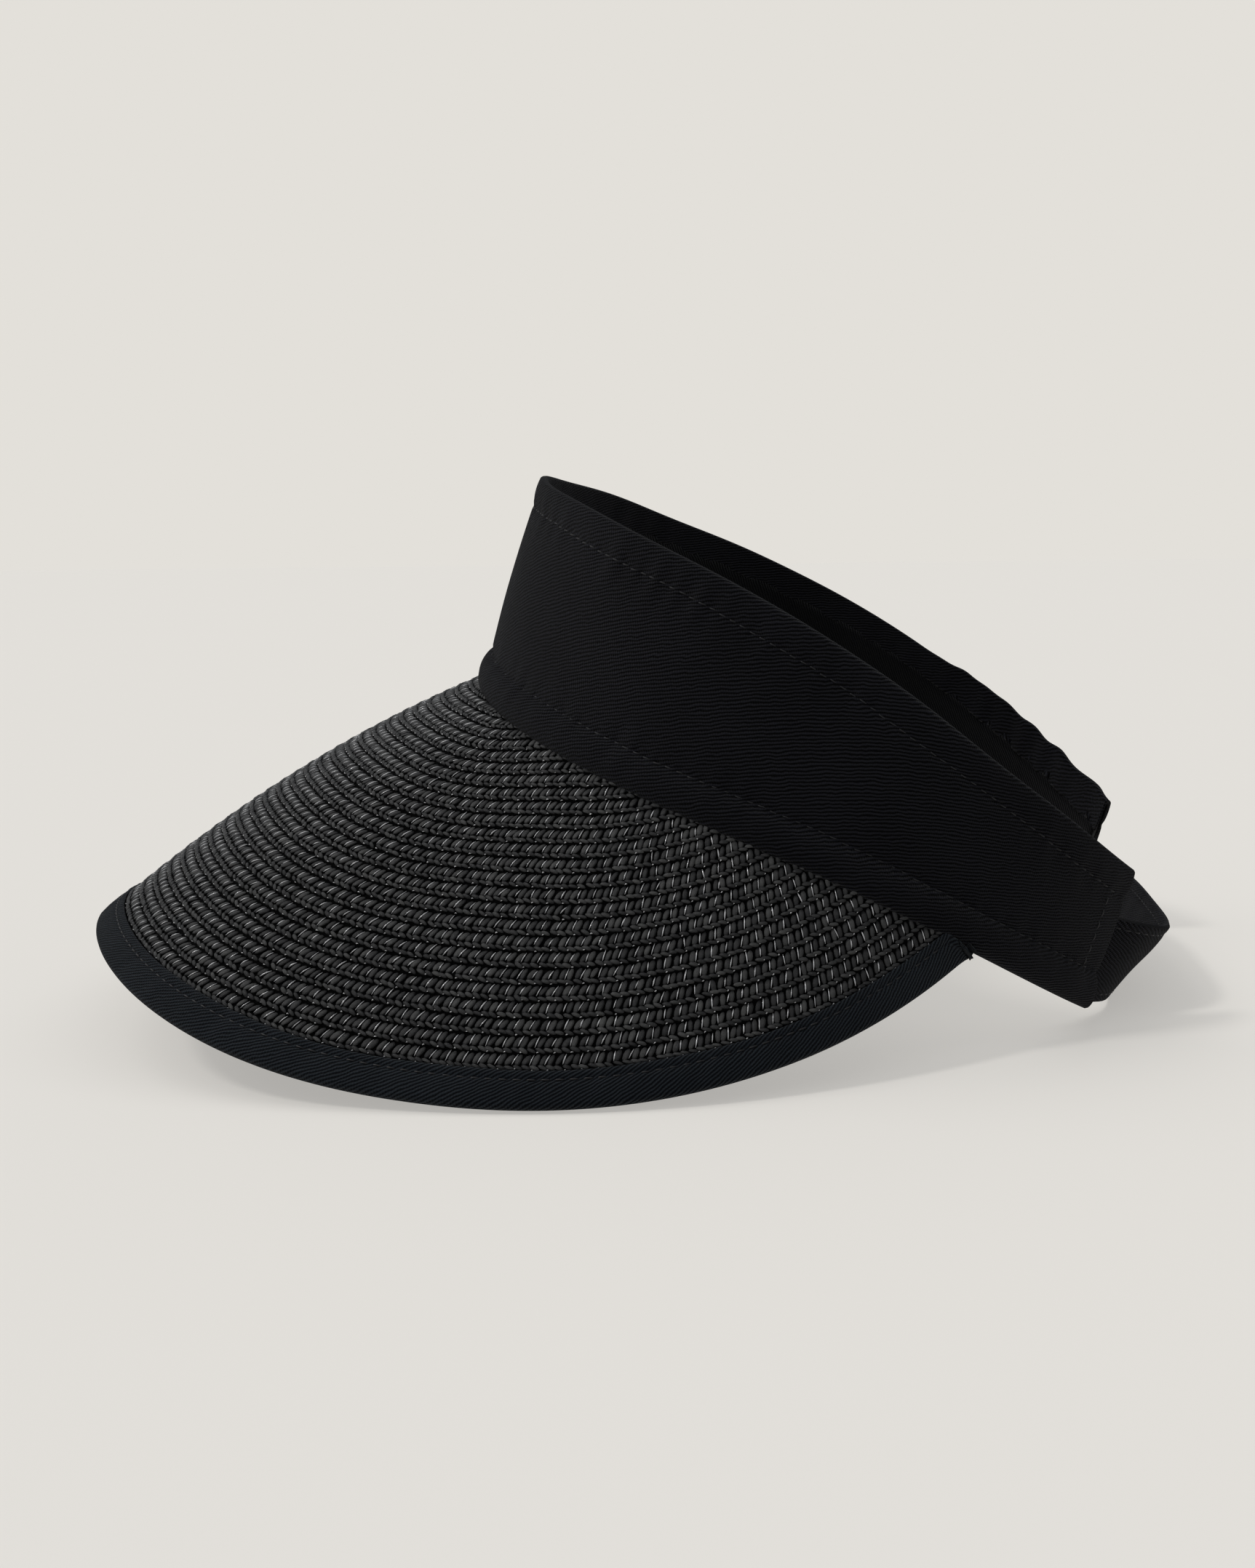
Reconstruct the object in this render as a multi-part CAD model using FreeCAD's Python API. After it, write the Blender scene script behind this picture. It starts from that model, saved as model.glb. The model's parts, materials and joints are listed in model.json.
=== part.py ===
import FreeCAD, Part
import math
import os

V = FreeCAD.Vector

# Sun visor: a fabric crown band, open at the top, with a drooping brim of sewn
# braid and a hook-and-loop strap across the back.
# Lengths are millimetres, angles are degrees.
# The shape is drawn in the head's frame: X to the wearer's left, Y to the back,
# Z up, with the origin at the middle of the opening.  PHI is the bearing about
# the head from the front, positive to the wearer's left.

# head opening, a near-ellipse for a head of about 57 cm
HALF_WIDTH = 87.7
HALF_DEPTH = 95.5
HEAD_SQUARENESS = 2.06

# band edges: height at the front, how they change towards the back and sides
BAND_FRONT_HEIGHT = 54.3
TOP_BACK_CHANGE = -35.7
TOP_SIDE_RISE = 11.4
TOP_SIDE_SKEW = -3.3
LOW_BACK_CHANGE = -14.6
LOW_SIDE_RISE = 9.3
LOW_SIDE_SKEW = -6.9

# lean of the band wall, outwards for each millimetre of height
LEAN_FRONT = 0.10
LEAN_SIDE = -0.26
LEAN_BACK = -0.01

# where the band flexes, and where its two ends are
WING_PHI = 126.0
LEFT_END_PHI = 147.5
RIGHT_END_PHI = 147.0
FLEX_GAP = 0.4

# cloth layers of the band
CLOTH = 0.8
STIFFENER = 0.8
LINING = 0.6
PLY_GAP = 0.05
HEM = 8.0
STITCH_INSET = 7.5
THREAD = 0.4
ROLL_HEIGHT = 7.6
ROLL_BULGE = 2.0
ROLL_DROP = 0.5
SWEATBAND_PHI = 96.0
SWEATBAND_HEIGHT = 25.0
SWEATBAND_THICKNESS = 1.1
ELASTIC_HEIGHT = 22.0

# brim: outer edge in plan, its drop below the band's lower edge, and its doming
BRIM_HALF_WIDTH = 131.1
BRIM_REACH = 109.8
BRIM_CENTRE_Y = -48.6
BRIM_SQUARENESS = 2.43
BRIM_DROPS = {0.0: 95.0, 40.0: 82.9, 75.0: 74.6, 105.0: 53.5}
BRIM_DOME_FRONT = 7.0
BRIM_DOME_SIDE = 1.3
BRIM_DOME_SKEW = -0.11
DOME_LENGTH = 117.0
SEAM_OUT = 0.9
SEAM_DROP = 1.2

# braid rows, binding and edge wire
ROW_PITCH = 4.03
ROW_GAP = 0.22
ROW_THICKNESS = 1.2
ROW_COUNT = 27
BINDING_WIDTH = 8.6
BINDING_CLOTH = 0.6
WIRE_RADIUS = 0.5
WIRE_INSET = 1.6

# closure strap
STRAP_PLY = 0.8
STRAP_TOP_GAP = 12.5
STRAP_LOW_GAP = -1.0
STRAP_TIP_PHI = 128.0
STRAP_BULGE_TOP = 16.5
STRAP_BULGE_LOW = 9.0
STRAP_BULGE_SKEW = 0.45
STRAP_BULGE_POWER = 4
STRAP_START_GAP = 0.9
STRAP_STITCH_INSET = 2.0
TAPE = 0.6
TAPE_MARGIN = 4.0
HOOK_START_PHI = 131.0
FASTENED_GAP = 0.45

FULL_STACK = CLOTH + STIFFENER + LINING + 2 * PLY_GAP


def sin(angle):
    return math.sin(math.radians(angle))


def cos(angle):
    return math.cos(math.radians(angle))


def superellipse(angle, half_x, half_y, power):
    across = abs(sin(angle) / half_x) ** power
    along = abs(cos(angle) / half_y) ** power
    radius = (across + along) ** (-1 / power)
    return V(radius * sin(angle), -radius * cos(angle), 0)


# ---- the band wall -------------------------------------------------------

def low_edge(phi):
    back = (1 - cos(phi)) / 2
    side = sin(phi) ** 2
    return LOW_BACK_CHANGE * back + (LOW_SIDE_RISE + LOW_SIDE_SKEW * cos(phi)) * side


def top_edge(phi):
    back = (1 - cos(phi)) / 2
    side = sin(phi) ** 2
    change = TOP_BACK_CHANGE * back + (TOP_SIDE_RISE + TOP_SIDE_SKEW * cos(phi)) * side
    return BAND_FRONT_HEIGHT + change


def outward(phi):
    """Level unit vector square to the opening's outline."""
    step = 0.05
    ahead = superellipse(phi + step, HALF_WIDTH, HALF_DEPTH, HEAD_SQUARENESS)
    behind = superellipse(phi - step, HALF_WIDTH, HALF_DEPTH, HEAD_SQUARENESS)
    along = ahead - behind
    return V(along.y, -along.x, 0).normalize()


def wall(phi, z, off):
    """Point of the band at height z, off outside its outer face."""
    radius = superellipse(phi, HALF_WIDTH, HALF_DEPTH, HEAD_SQUARENESS).Length
    end_lean = LEAN_FRONT if cos(phi) > 0 else LEAN_BACK
    lean = end_lean * cos(phi) ** 2 + LEAN_SIDE * sin(phi) ** 2
    reach = radius + lean * z
    return V(reach * sin(phi), -reach * cos(phi), z) + outward(phi) * off


def arc_degrees(phi, length):
    """Bearing change that moves length along the band at bearing phi."""
    step = 0.5
    span = (wall(phi + step, 0, 0) - wall(phi - step, 0, 0)).Length
    return length * 2 * step / span


# ---- standing pose: the brim's edge and the strap's lower edge touch down -----

def tilt_about_x(p, angle):
    return V(p.x, p.y * cos(angle) + p.z * sin(angle), p.z * cos(angle) - p.y * sin(angle))


# ---- the brim surface ------------------------------------------------------

def edge_plan(angle):
    """Plan point of the brim's outer edge at an angle about the brim's centre."""
    point = superellipse(angle, BRIM_HALF_WIDTH, BRIM_REACH, BRIM_SQUARENESS)
    return point + V(0, BRIM_CENTRE_Y, 0)


def head_ratio(p):
    """Below 1 inside the head opening, in plan."""
    across = abs(p.x / HALF_WIDTH) ** HEAD_SQUARENESS
    along = abs(p.y / HALF_DEPTH) ** HEAD_SQUARENESS
    return across + along


def inside_head(p):
    return head_ratio(p) < 1


def bisect(test, low, high):
    """Value between low, where test is false, and high, where it is true."""
    for _ in range(50):
        middle = (low + high) / 2
        if test(middle):
            high = middle
        else:
            low = middle
    return low


BRIM_END = bisect(lambda angle: inside_head(edge_plan(angle)), 90.0, 178.0)


def bearing(p):
    return math.degrees(math.atan2(p.x, -p.y))


def seam_point(p):
    phi = bearing(p)
    return wall(phi, low_edge(phi) - SEAM_DROP, SEAM_OUT)


def edge_height_curve():
    half = sorted(BRIM_DROPS.items())
    end_height = seam_point(edge_plan(BRIM_END)).z
    right = [(angle, -drop) for angle, drop in half] + [(BRIM_END, end_height)]
    left = [(-angle, height) for angle, height in reversed(right) if angle > 0]
    knots = left + right
    curve = Part.BSplineCurve()
    angles = [angle for angle, height in knots]
    points = [V(angle, 0, height) for angle, height in knots]
    curve.interpolate(Points=points, Parameters=angles)
    return curve


EDGE_HEIGHT = edge_height_curve()
RAY_STEPS = 24
SEW_TOLERANCE = 1e-4


class BrimRay:
    """The brim's section on a level line square to its outer edge."""

    def __init__(self, angle):
        step = 0.05
        outer = edge_plan(angle)
        along = edge_plan(angle + step) - edge_plan(angle - step)
        inward = V(-along.y, along.x, 0).normalize()
        reach = self.reach_to_head(outer, inward)
        start = V(outer.x, outer.y, EDGE_HEIGHT.value(angle).z)
        end = seam_point(outer + inward * reach)
        chord = end - start
        length = max(chord.Length, 1e-6)
        level = V(chord.x, chord.y, 0)
        if level.Length < 0.05:
            level = inward
        level = V(level).normalize()
        up = V(0, 0, 1) * level.dot(chord) - level * chord.z
        up = up * (1 / length)
        weight = BRIM_DOME_FRONT * cos(angle) ** 2 + BRIM_DOME_SIDE * sin(angle) ** 2
        dome = weight * (length / DOME_LENGTH) ** 2
        self.points = []
        for i in range(RAY_STEPS + 1):
            t = i / RAY_STEPS
            rise = dome * 4 * t * (1 - t) * (1 + BRIM_DOME_SKEW * (2 * t - 1))
            self.points.append(start + chord * t + up * rise)
        self.lengths = [0.0]
        for a, b in zip(self.points, self.points[1:]):
            self.lengths.append(self.lengths[-1] + (b - a).Length)
        self.length = self.lengths[-1]

    @staticmethod
    def reach_to_head(outer, inward):
        if inside_head(outer):
            return 0.0
        nearest = min(range(0, 200), key=lambda s: head_ratio(outer + inward * s))
        if not inside_head(outer + inward * nearest):
            return float(nearest)
        return bisect(lambda s: inside_head(outer + inward * s), 0.0, float(nearest))

    def at(self, distance):
        """Point at a distance from the outer edge, measured on the brim."""
        i = 1
        while i < RAY_STEPS and self.lengths[i] < distance:
            i += 1
        span = max(self.lengths[i] - self.lengths[i - 1], 1e-9)
        part = (distance - self.lengths[i - 1]) / span
        a = self.points[i - 1]
        b = self.points[i]
        return a + (b - a) * part


RAYS = {}


def ray(angle):
    key = round(angle, 6)
    if key not in RAYS:
        RAYS[key] = BrimRay(key)
    return RAYS[key]


def brim_frame(angle, distance):
    """Point of the brim's middle surface, the way in and the upward normal."""
    step = 0.4
    point = ray(angle).at(distance)
    way_in = (ray(angle).at(distance + 0.5) - ray(angle).at(distance - 0.5)).normalize()
    low = max(angle - step, -BRIM_END)
    high = min(angle + step, BRIM_END)
    along = ray(high).at(distance) - ray(low).at(distance)
    normal = way_in.cross(along)
    if normal.z < 0:
        normal = normal * -1
    return point, way_in, normal.normalize()


def end_angle(distance):
    """Largest angle at which the brim is still at least distance wide."""
    return bisect(lambda angle: ray(angle).length < distance, 0.0, BRIM_END)


# ---- solids from sections ----------------------------------------------------

def find_tilt():
    front = [ray(angle).points[0] for angle in range(0, 120, 2)]
    back = [STRAP_LOW.value(STRAP_LOW.LastParameter * part) for part in spread(0.0, 1.0, 41)]
    back.append(wall(LEFT_END_PHI, low_edge(LEFT_END_PHI) - ROLL_DROP, 0))

    def back_is_lower(angle):
        lowest_front = min(tilt_about_x(p, angle).z for p in front)
        lowest_back = min(tilt_about_x(p, angle).z for p in back)
        return lowest_back < lowest_front

    return bisect(back_is_lower, 0.0, 45.0)



def flattened(ring):
    """The ring's points moved onto its own mean plane."""
    centre = V(0, 0, 0)
    for p in ring:
        centre = centre + p * (1 / len(ring))
    normal = V(0, 0, 0)
    for a, b in zip(ring, ring[1:] + ring[:1]):
        normal = normal + (a - centre).cross(b - centre)
    normal.normalize()
    return [p - normal * (p - centre).dot(normal) for p in ring]


def loft(rings):
    """Solid along rings of head-frame points, in the standing pose.

    Each corner runs on as one smooth curve, and each side is ruled between two.
    """
    rings = [[tilt_about_x(p, TILT) for p in ring] for ring in rings]
    rings[0] = flattened(rings[0])
    rings[-1] = flattened(rings[-1])
    stations = [0.0]
    for a, b in zip(rings, rings[1:]):
        stations.append(stations[-1] + (b[0] - a[0]).Length)
    edges = []
    for corner in range(len(rings[0])):
        curve = Part.BSplineCurve()
        curve.interpolate(Points=[ring[corner] for ring in rings], Parameters=stations)
        edges.append(curve.toShape())
    faces = []
    for a, b in zip(edges, edges[1:] + edges[:1]):
        faces.append(Part.makeRuledSurface(a, b))
    for ring in (rings[0], rings[-1]):
        faces.append(Part.Face(Part.makePolygon(ring + [ring[0]])))
    shell = Part.Compound(faces)
    shell.sewShape(SEW_TOLERANCE)
    solid = Part.makeSolid(shell.Shells[0])
    if solid.Volume < 0:
        solid.reverse()
    return solid


def spread(first, last, count):
    return [first + (last - first) * i / (count - 1) for i in range(count)]


def band_strip(first, last, section, count=0):
    """Solid along the band; section(phi) gives (off, height) pairs."""
    if not count:
        count = max(5, int(abs(last - first) / 9) + 2)
    rings = []
    for phi in spread(first, last, count):
        rings.append([wall(phi, z, off) for off, z in section(phi)])
    return loft(rings)


def outer_section(phi):
    low = low_edge(phi) + ROLL_DROP
    top = top_edge(phi)
    fold = -CLOTH - STIFFENER - 2 * PLY_GAP
    return [(0, low), (0, top - 0.9), (-0.5, top), (-FULL_STACK + 0.5, top),
            (-FULL_STACK, top - 0.9), (-FULL_STACK, top - HEM), (fold, top - HEM),
            (fold, top - 1.3), (-CLOTH, top - 1.3), (-CLOTH, low)]


def slab(inner, outer, low_gap, top_gap):
    """Section function of a flat ply between two depths of the band."""
    def section(phi):
        low = low_edge(phi) + low_gap
        top = top_edge(phi) - top_gap
        return [(outer, low), (outer, top), (inner, top), (inner, low)]
    return section


def roll_section(phi):
    low = low_edge(phi)
    face = PLY_GAP
    return [(face, low + ROLL_HEIGHT), (1.2, low + 6.9), (1.8, low + 5.2),
            (ROLL_BULGE, low + 3.2), (1.8, low + 1.0), (1.1, low - 0.2),
            (face, low - ROLL_DROP)]


def thread_section(height_of):
    def section(phi):
        z = height_of(phi)
        half = THREAD / 2
        return [(0.05, z - half), (0.05, z + half), (0.05 + THREAD, z + half),
                (0.05 + THREAD, z - half)]
    return section


def lining_plies():
    outer = -CLOTH - STIFFENER - 2 * PLY_GAP
    return slab(-FULL_STACK, outer, ROLL_DROP, HEM + 0.1)


def stiffener_plies():
    outer = -CLOTH - PLY_GAP
    return slab(outer - STIFFENER, outer, ROLL_DROP + 0.1, 1.4)


def top_stitch_height(phi):
    return top_edge(phi) - STITCH_INSET


def low_stitch_height(phi):
    return low_edge(phi) + ROLL_HEIGHT + 0.5


def band_nodes(first, last):
    """Outer cloth, lining, hem roll and stitching over one stretch of band."""
    return {
        "outer": band_strip(first, last, outer_section),
        "lining": band_strip(first, last, lining_plies()),
        "roll": band_strip(first, last, roll_section),
        "upper_stitch": band_strip(first, last, thread_section(top_stitch_height)),
        "lower_stitch": band_strip(first, last, thread_section(low_stitch_height)),
    }


# ---- sub-parts -----------------------------------------------------------------

def crown():
    parts = band_nodes(-WING_PHI, WING_PHI)

    def sweatband_section(phi):
        fade = max(0.0, 1 - (phi / SWEATBAND_PHI) ** 8)
        low = low_edge(phi) + 1.5
        top = low + SWEATBAND_HEIGHT * (0.6 + 0.4 * fade)
        outer = -FULL_STACK - PLY_GAP
        inner = outer - SWEATBAND_THICKNESS
        return [(outer, low), (outer, top), (inner + 0.4, top), (inner, top - 1.0),
                (inner, low + 1.0), (inner + 0.4, low)]

    return {
        "band_outer": parts["outer"],
        "band_lining": parts["lining"],
        "band_interlining": band_strip(-WING_PHI, WING_PHI, stiffener_plies()),
        "lower_hem_roll": parts["roll"],
        "sweatband": band_strip(-SWEATBAND_PHI, SWEATBAND_PHI, sweatband_section, 25),
        "upper_topstitch": parts["upper_stitch"],
        "lower_topstitch": parts["lower_stitch"],
    }


def brim_angles(last, first_step=9.0):
    """Angles from -last to last, closer together near both ends."""
    count = max(4, int(last / first_step) + 1)
    half = [last * math.sin(math.radians(90 * i / count)) for i in range(count + 1)]
    return [-angle for angle in reversed(half[1:])] + half


def brim_row(number):
    """One braid row; its ends are cut slantwise by the band's seam."""
    start = BINDING_WIDTH + (number - 2) * ROW_PITCH
    width = ROW_PITCH - ROW_GAP
    rings = []
    for angle in brim_angles(end_angle(start + 0.45 * width)):
        inner = min(start + width, ray(angle).length)
        if number == ROW_COUNT:
            inner = ray(angle).length
        half = ROW_THICKNESS / 2
        a, _, normal_a = brim_frame(angle, start)
        b, _, normal_b = brim_frame(angle, inner)
        rings.append([a - normal_a * half, a + normal_a * half,
                      b + normal_b * half, b - normal_b * half])
    return loft(rings)


def binding():
    """Cloth folded round the brim's edge."""
    rings = []
    inside = ROW_THICKNESS / 2 + PLY_GAP
    outside = inside + BINDING_CLOTH
    for angle in brim_angles(end_angle(3.2)):
        leg = min(BINDING_WIDTH, ray(angle).length)
        a, way_in, normal_a = brim_frame(angle, 0.5)
        b, _, normal_b = brim_frame(angle, leg)
        tip = a - way_in * 0.5
        nose = a
        hollow = tip + way_in * BINDING_CLOTH
        rings.append([b + normal_b * outside, nose + normal_a * outside,
                      tip + normal_a * inside * 0.6, tip - normal_a * inside * 0.6,
                      nose - normal_a * outside, b - normal_b * outside,
                      b - normal_b * inside, hollow - normal_a * inside,
                      hollow + normal_a * inside, b + normal_b * inside])
    return loft(rings)


def edge_wire():
    """Springy wire inside the binding that keeps the edge in shape."""
    rings = []
    for angle in brim_angles(end_angle(WIRE_INSET + 4.0)):
        centre, way_in, normal = brim_frame(angle, WIRE_INSET)
        ring = []
        for turn in range(0, 360, 45):
            spoke = way_in * cos(turn) + normal * sin(turn)
            ring.append(centre + spoke * WIRE_RADIUS)
        rings.append(ring)
    return loft(rings)


def binding_stitch():
    rings = []
    face = ROW_THICKNESS / 2 + PLY_GAP + BINDING_CLOTH + 0.05
    inset = BINDING_WIDTH - 2.8
    for angle in brim_angles(end_angle(inset + 1.0)):
        centre, way_in, normal = brim_frame(angle, inset)
        side = way_in * (THREAD / 2)
        foot = centre + normal * face
        head = centre + normal * (face + THREAD)
        rings.append([foot - side, foot + side, head + side, head - side])
    return loft(rings)


def brim():
    nodes = {}
    for number in range(1, ROW_COUNT + 1):
        nodes["brim_row_%02d" % number] = brim_row(number)
    nodes["brim_binding"] = binding()
    nodes["brim_edge_wire"] = edge_wire()
    nodes["binding_topstitch"] = binding_stitch()
    return nodes


def end_thread(phi):
    """Upright row of stitching beside the band's end."""
    rings = []
    half = arc_degrees(phi, THREAD / 2)
    low = low_stitch_height(phi) + 0.6
    top = top_stitch_height(phi) - 0.6
    for z in spread(low, top, 5):
        rings.append([wall(phi - half, z, 0.05), wall(phi + half, z, 0.05),
                      wall(phi + half, z, 0.05 + THREAD), wall(phi - half, z, 0.05 + THREAD)])
    return loft(rings)


def left_wing():
    first = WING_PHI + arc_degrees(WING_PHI, FLEX_GAP)
    parts = band_nodes(first, LEFT_END_PHI)
    depth = -FULL_STACK - PLY_GAP
    hook = slab(depth - TAPE, depth, TAPE_MARGIN, HEM + 1.0)
    return {
        "left_wing_outer": parts["outer"],
        "left_wing_lining": parts["lining"],
        "left_wing_interlining": band_strip(first, LEFT_END_PHI - 0.5, stiffener_plies()),
        "left_wing_hem_roll": parts["roll"],
        "left_wing_upper_topstitch": parts["upper_stitch"],
        "left_wing_lower_topstitch": parts["lower_stitch"],
        "left_wing_end_topstitch": end_thread(LEFT_END_PHI - arc_degrees(LEFT_END_PHI, STITCH_INSET)),
        "hook_patch": band_strip(HOOK_START_PHI, LEFT_END_PHI - 0.6, hook),
    }


def right_wing():
    first = -WING_PHI - arc_degrees(WING_PHI, FLEX_GAP)
    parts = band_nodes(first, -RIGHT_END_PHI)
    outer = -CLOTH - PLY_GAP

    def elastic_section(phi):
        middle = (low_edge(phi) + top_edge(phi)) / 2
        low = middle - ELASTIC_HEIGHT / 2
        top = middle + ELASTIC_HEIGHT / 2
        return [(outer, low), (outer, top), (outer - STIFFENER, top), (outer - STIFFENER, low)]

    return {
        "right_wing_outer": parts["outer"],
        "right_wing_lining": parts["lining"],
        "rear_elastic": band_strip(first, -RIGHT_END_PHI + 0.5, elastic_section),
        "right_wing_hem_roll": parts["roll"],
        "right_wing_upper_topstitch": parts["upper_stitch"],
        "right_wing_lower_topstitch": parts["lower_stitch"],
        "right_wing_end_topstitch": end_thread(-RIGHT_END_PHI + arc_degrees(RIGHT_END_PHI, STITCH_INSET)),
    }


# depth of the strap's middle surface where it lies inside the left end
TUCK_DEPTH = FULL_STACK + PLY_GAP + TAPE + FASTENED_GAP + TAPE + 2 * PLY_GAP + STRAP_PLY
RIGHT_DEPTH = FULL_STACK / 2


def strap_edge_curve(bulge, height_of):
    """Edge of the strap from the right end, across the back, into the left end."""
    start_phi = -RIGHT_END_PHI - arc_degrees(RIGHT_END_PHI, STRAP_START_GAP)
    right = wall(start_phi, height_of(start_phi), -RIGHT_DEPTH)
    left = wall(LEFT_END_PHI, height_of(LEFT_END_PHI), -TUCK_DEPTH)
    points = [right]
    for part in (0.08, 0.2, 0.35, 0.5, 0.65, 0.8, 0.92):
        across = 2 * part - 1
        swell = bulge * (1 - across ** STRAP_BULGE_POWER) * (1 + STRAP_BULGE_SKEW * across)
        points.append(right + (left - right) * part + V(0, swell, 0))
    for phi in (LEFT_END_PHI, 142.0, 135.0, STRAP_TIP_PHI):
        points.append(wall(phi, height_of(phi), -TUCK_DEPTH))
    curve = Part.BSplineCurve()
    curve.interpolate(Points=points)
    return curve


def strap_low_height(phi):
    return low_edge(phi) + STRAP_LOW_GAP


def strap_top_height(phi):
    return top_edge(phi) - STRAP_TOP_GAP


STRAP_LOW = strap_edge_curve(STRAP_BULGE_LOW, strap_low_height)
STRAP_TOP = strap_edge_curve(STRAP_BULGE_TOP, strap_top_height)
TILT = find_tilt()


def strap_frame(part):
    """Low point, top point and outward normal at a part of the strap's length."""
    low = STRAP_LOW.value(STRAP_LOW.LastParameter * part)
    top = STRAP_TOP.value(STRAP_TOP.LastParameter * part)
    ahead = min(part + 0.01, 1.0)
    behind = max(part - 0.01, 0.0)
    middle_ahead = STRAP_LOW.value(STRAP_LOW.LastParameter * ahead)
    middle_behind = STRAP_LOW.value(STRAP_LOW.LastParameter * behind)
    high_ahead = STRAP_TOP.value(STRAP_TOP.LastParameter * ahead)
    high_behind = STRAP_TOP.value(STRAP_TOP.LastParameter * behind)
    low_normal = (middle_ahead - middle_behind).cross(top - low).normalize()
    top_normal = (high_ahead - high_behind).cross(top - low).normalize()
    return low, top, low_normal, top_normal


def strap_ply(first, last, inner, outer, low_margin=0.0, top_margin=0.0):
    rings = []
    for part in spread(first, last, 19):
        low, top, low_normal, top_normal = strap_frame(part)
        upward = (top - low).normalize()
        low = low + upward * low_margin
        top = top - upward * top_margin
        rings.append([low + low_normal * inner, low + low_normal * outer,
                      top + top_normal * outer, top + top_normal * inner])
    return loft(rings)


def strap_thread(depth, at_top):
    """Stitching along one edge of the strap's outer ply."""
    rings = []
    for part in spread(0.02, 0.6, 13):
        low, top, low_normal, top_normal = strap_frame(part)
        upward = (top - low).normalize()
        foot = low + upward * STRAP_STITCH_INSET
        normal = low_normal
        if at_top:
            foot = top - upward * (STRAP_STITCH_INSET + THREAD)
            normal = top_normal
        head = foot + upward * THREAD
        rings.append([foot + normal * depth, foot + normal * (depth + THREAD),
                      head + normal * (depth + THREAD), head + normal * depth])
    return loft(rings)


def strap():
    face = PLY_GAP / 2
    skin = face + STRAP_PLY
    threads = [strap_thread(skin + 0.05, True), strap_thread(skin + 0.05, False)]
    return {
        "strap_outer": strap_ply(0.0, 1.0, face, skin),
        "strap_lining": strap_ply(0.0, 1.0, -skin, -face),
        "loop_patch": strap_ply(0.64, 0.98, skin + PLY_GAP, skin + TAPE, TAPE_MARGIN, TAPE_MARGIN),
        "strap_topstitch": Part.makeCompound(threads),
    }


# ---- hinge lines, the whole visor and its files ------------------------------

def hinge_lines():
    """Two points on each flex line, in the head's frame."""
    lines = {}
    for name, phi, off in (("left_wing_hinge", WING_PHI, ROLL_BULGE + 0.1),
                           ("right_wing_hinge", -WING_PHI, -FULL_STACK),
                           ("strap_hinge", -RIGHT_END_PHI, -FULL_STACK)):
        lines[name] = (wall(phi, low_edge(phi), off), wall(phi, top_edge(phi), off))
    return lines


def main():
    os.makedirs("parts", exist_ok=True)
    nodes = {}
    for make in (crown, brim, left_wing, right_wing, strap):
        nodes.update(make())
    box = FreeCAD.BoundBox()
    for shape in nodes.values():
        box.add(shape.optimalBoundingBox(False))
    shift = V(-(box.XMin + box.XMax) / 2, -(box.YMin + box.YMax) / 2, -box.ZMin)
    print("brim end bearing", bearing(edge_plan(BRIM_END)), "angle", BRIM_END)
    print("brim length at the front", ray(0).length)
    print("size", box.XLength, box.YLength, box.ZLength, "tilt", TILT, "shift", shift)
    for name, (low, top) in hinge_lines().items():
        foot = tilt_about_x(low, TILT) + shift
        way = (tilt_about_x(top, TILT) + shift - foot).normalize()
        print(name, "foot", foot, "way", way)
    for name, shape in nodes.items():
        shape.translate(shift)
        solids = shape.Solids
        valid = shape.isValid() and all(s.Volume > 0 for s in solids)
        print(name, "solids", len(solids), "valid", valid, "volume %.1f" % shape.Volume)
        shape.exportStep("parts/%s.step" % name)


main()
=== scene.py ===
import json
import math

import bpy
import numpy as np
from mathutils import Euler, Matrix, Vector


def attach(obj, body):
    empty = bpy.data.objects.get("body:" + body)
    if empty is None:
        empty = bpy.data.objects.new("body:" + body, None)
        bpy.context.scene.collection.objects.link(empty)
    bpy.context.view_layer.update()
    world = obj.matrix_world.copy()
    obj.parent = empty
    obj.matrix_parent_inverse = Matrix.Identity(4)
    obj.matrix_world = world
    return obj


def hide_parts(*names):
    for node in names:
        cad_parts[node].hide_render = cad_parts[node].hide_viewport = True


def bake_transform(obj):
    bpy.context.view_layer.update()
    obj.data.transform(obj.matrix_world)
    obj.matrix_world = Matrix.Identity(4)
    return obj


# The looks of a sun visor: a black twill band, a brim of sewn straw braid with a
# bound edge, and a hook-and-loop strap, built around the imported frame.
# Shapes are worked out in millimetres in the head's frame (X to the wearer's left,
# Y to the back, Z up from the band's lower edge), then placed in the row's frame.

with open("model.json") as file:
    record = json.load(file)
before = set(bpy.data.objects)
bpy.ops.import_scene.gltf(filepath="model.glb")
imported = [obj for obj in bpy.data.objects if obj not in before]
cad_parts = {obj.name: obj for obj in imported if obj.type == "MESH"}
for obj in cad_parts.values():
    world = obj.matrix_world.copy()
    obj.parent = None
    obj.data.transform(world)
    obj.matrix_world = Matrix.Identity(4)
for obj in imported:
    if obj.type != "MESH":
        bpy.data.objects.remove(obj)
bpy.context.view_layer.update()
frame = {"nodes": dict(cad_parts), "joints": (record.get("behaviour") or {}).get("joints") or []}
RNG = np.random.default_rng(7)

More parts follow.
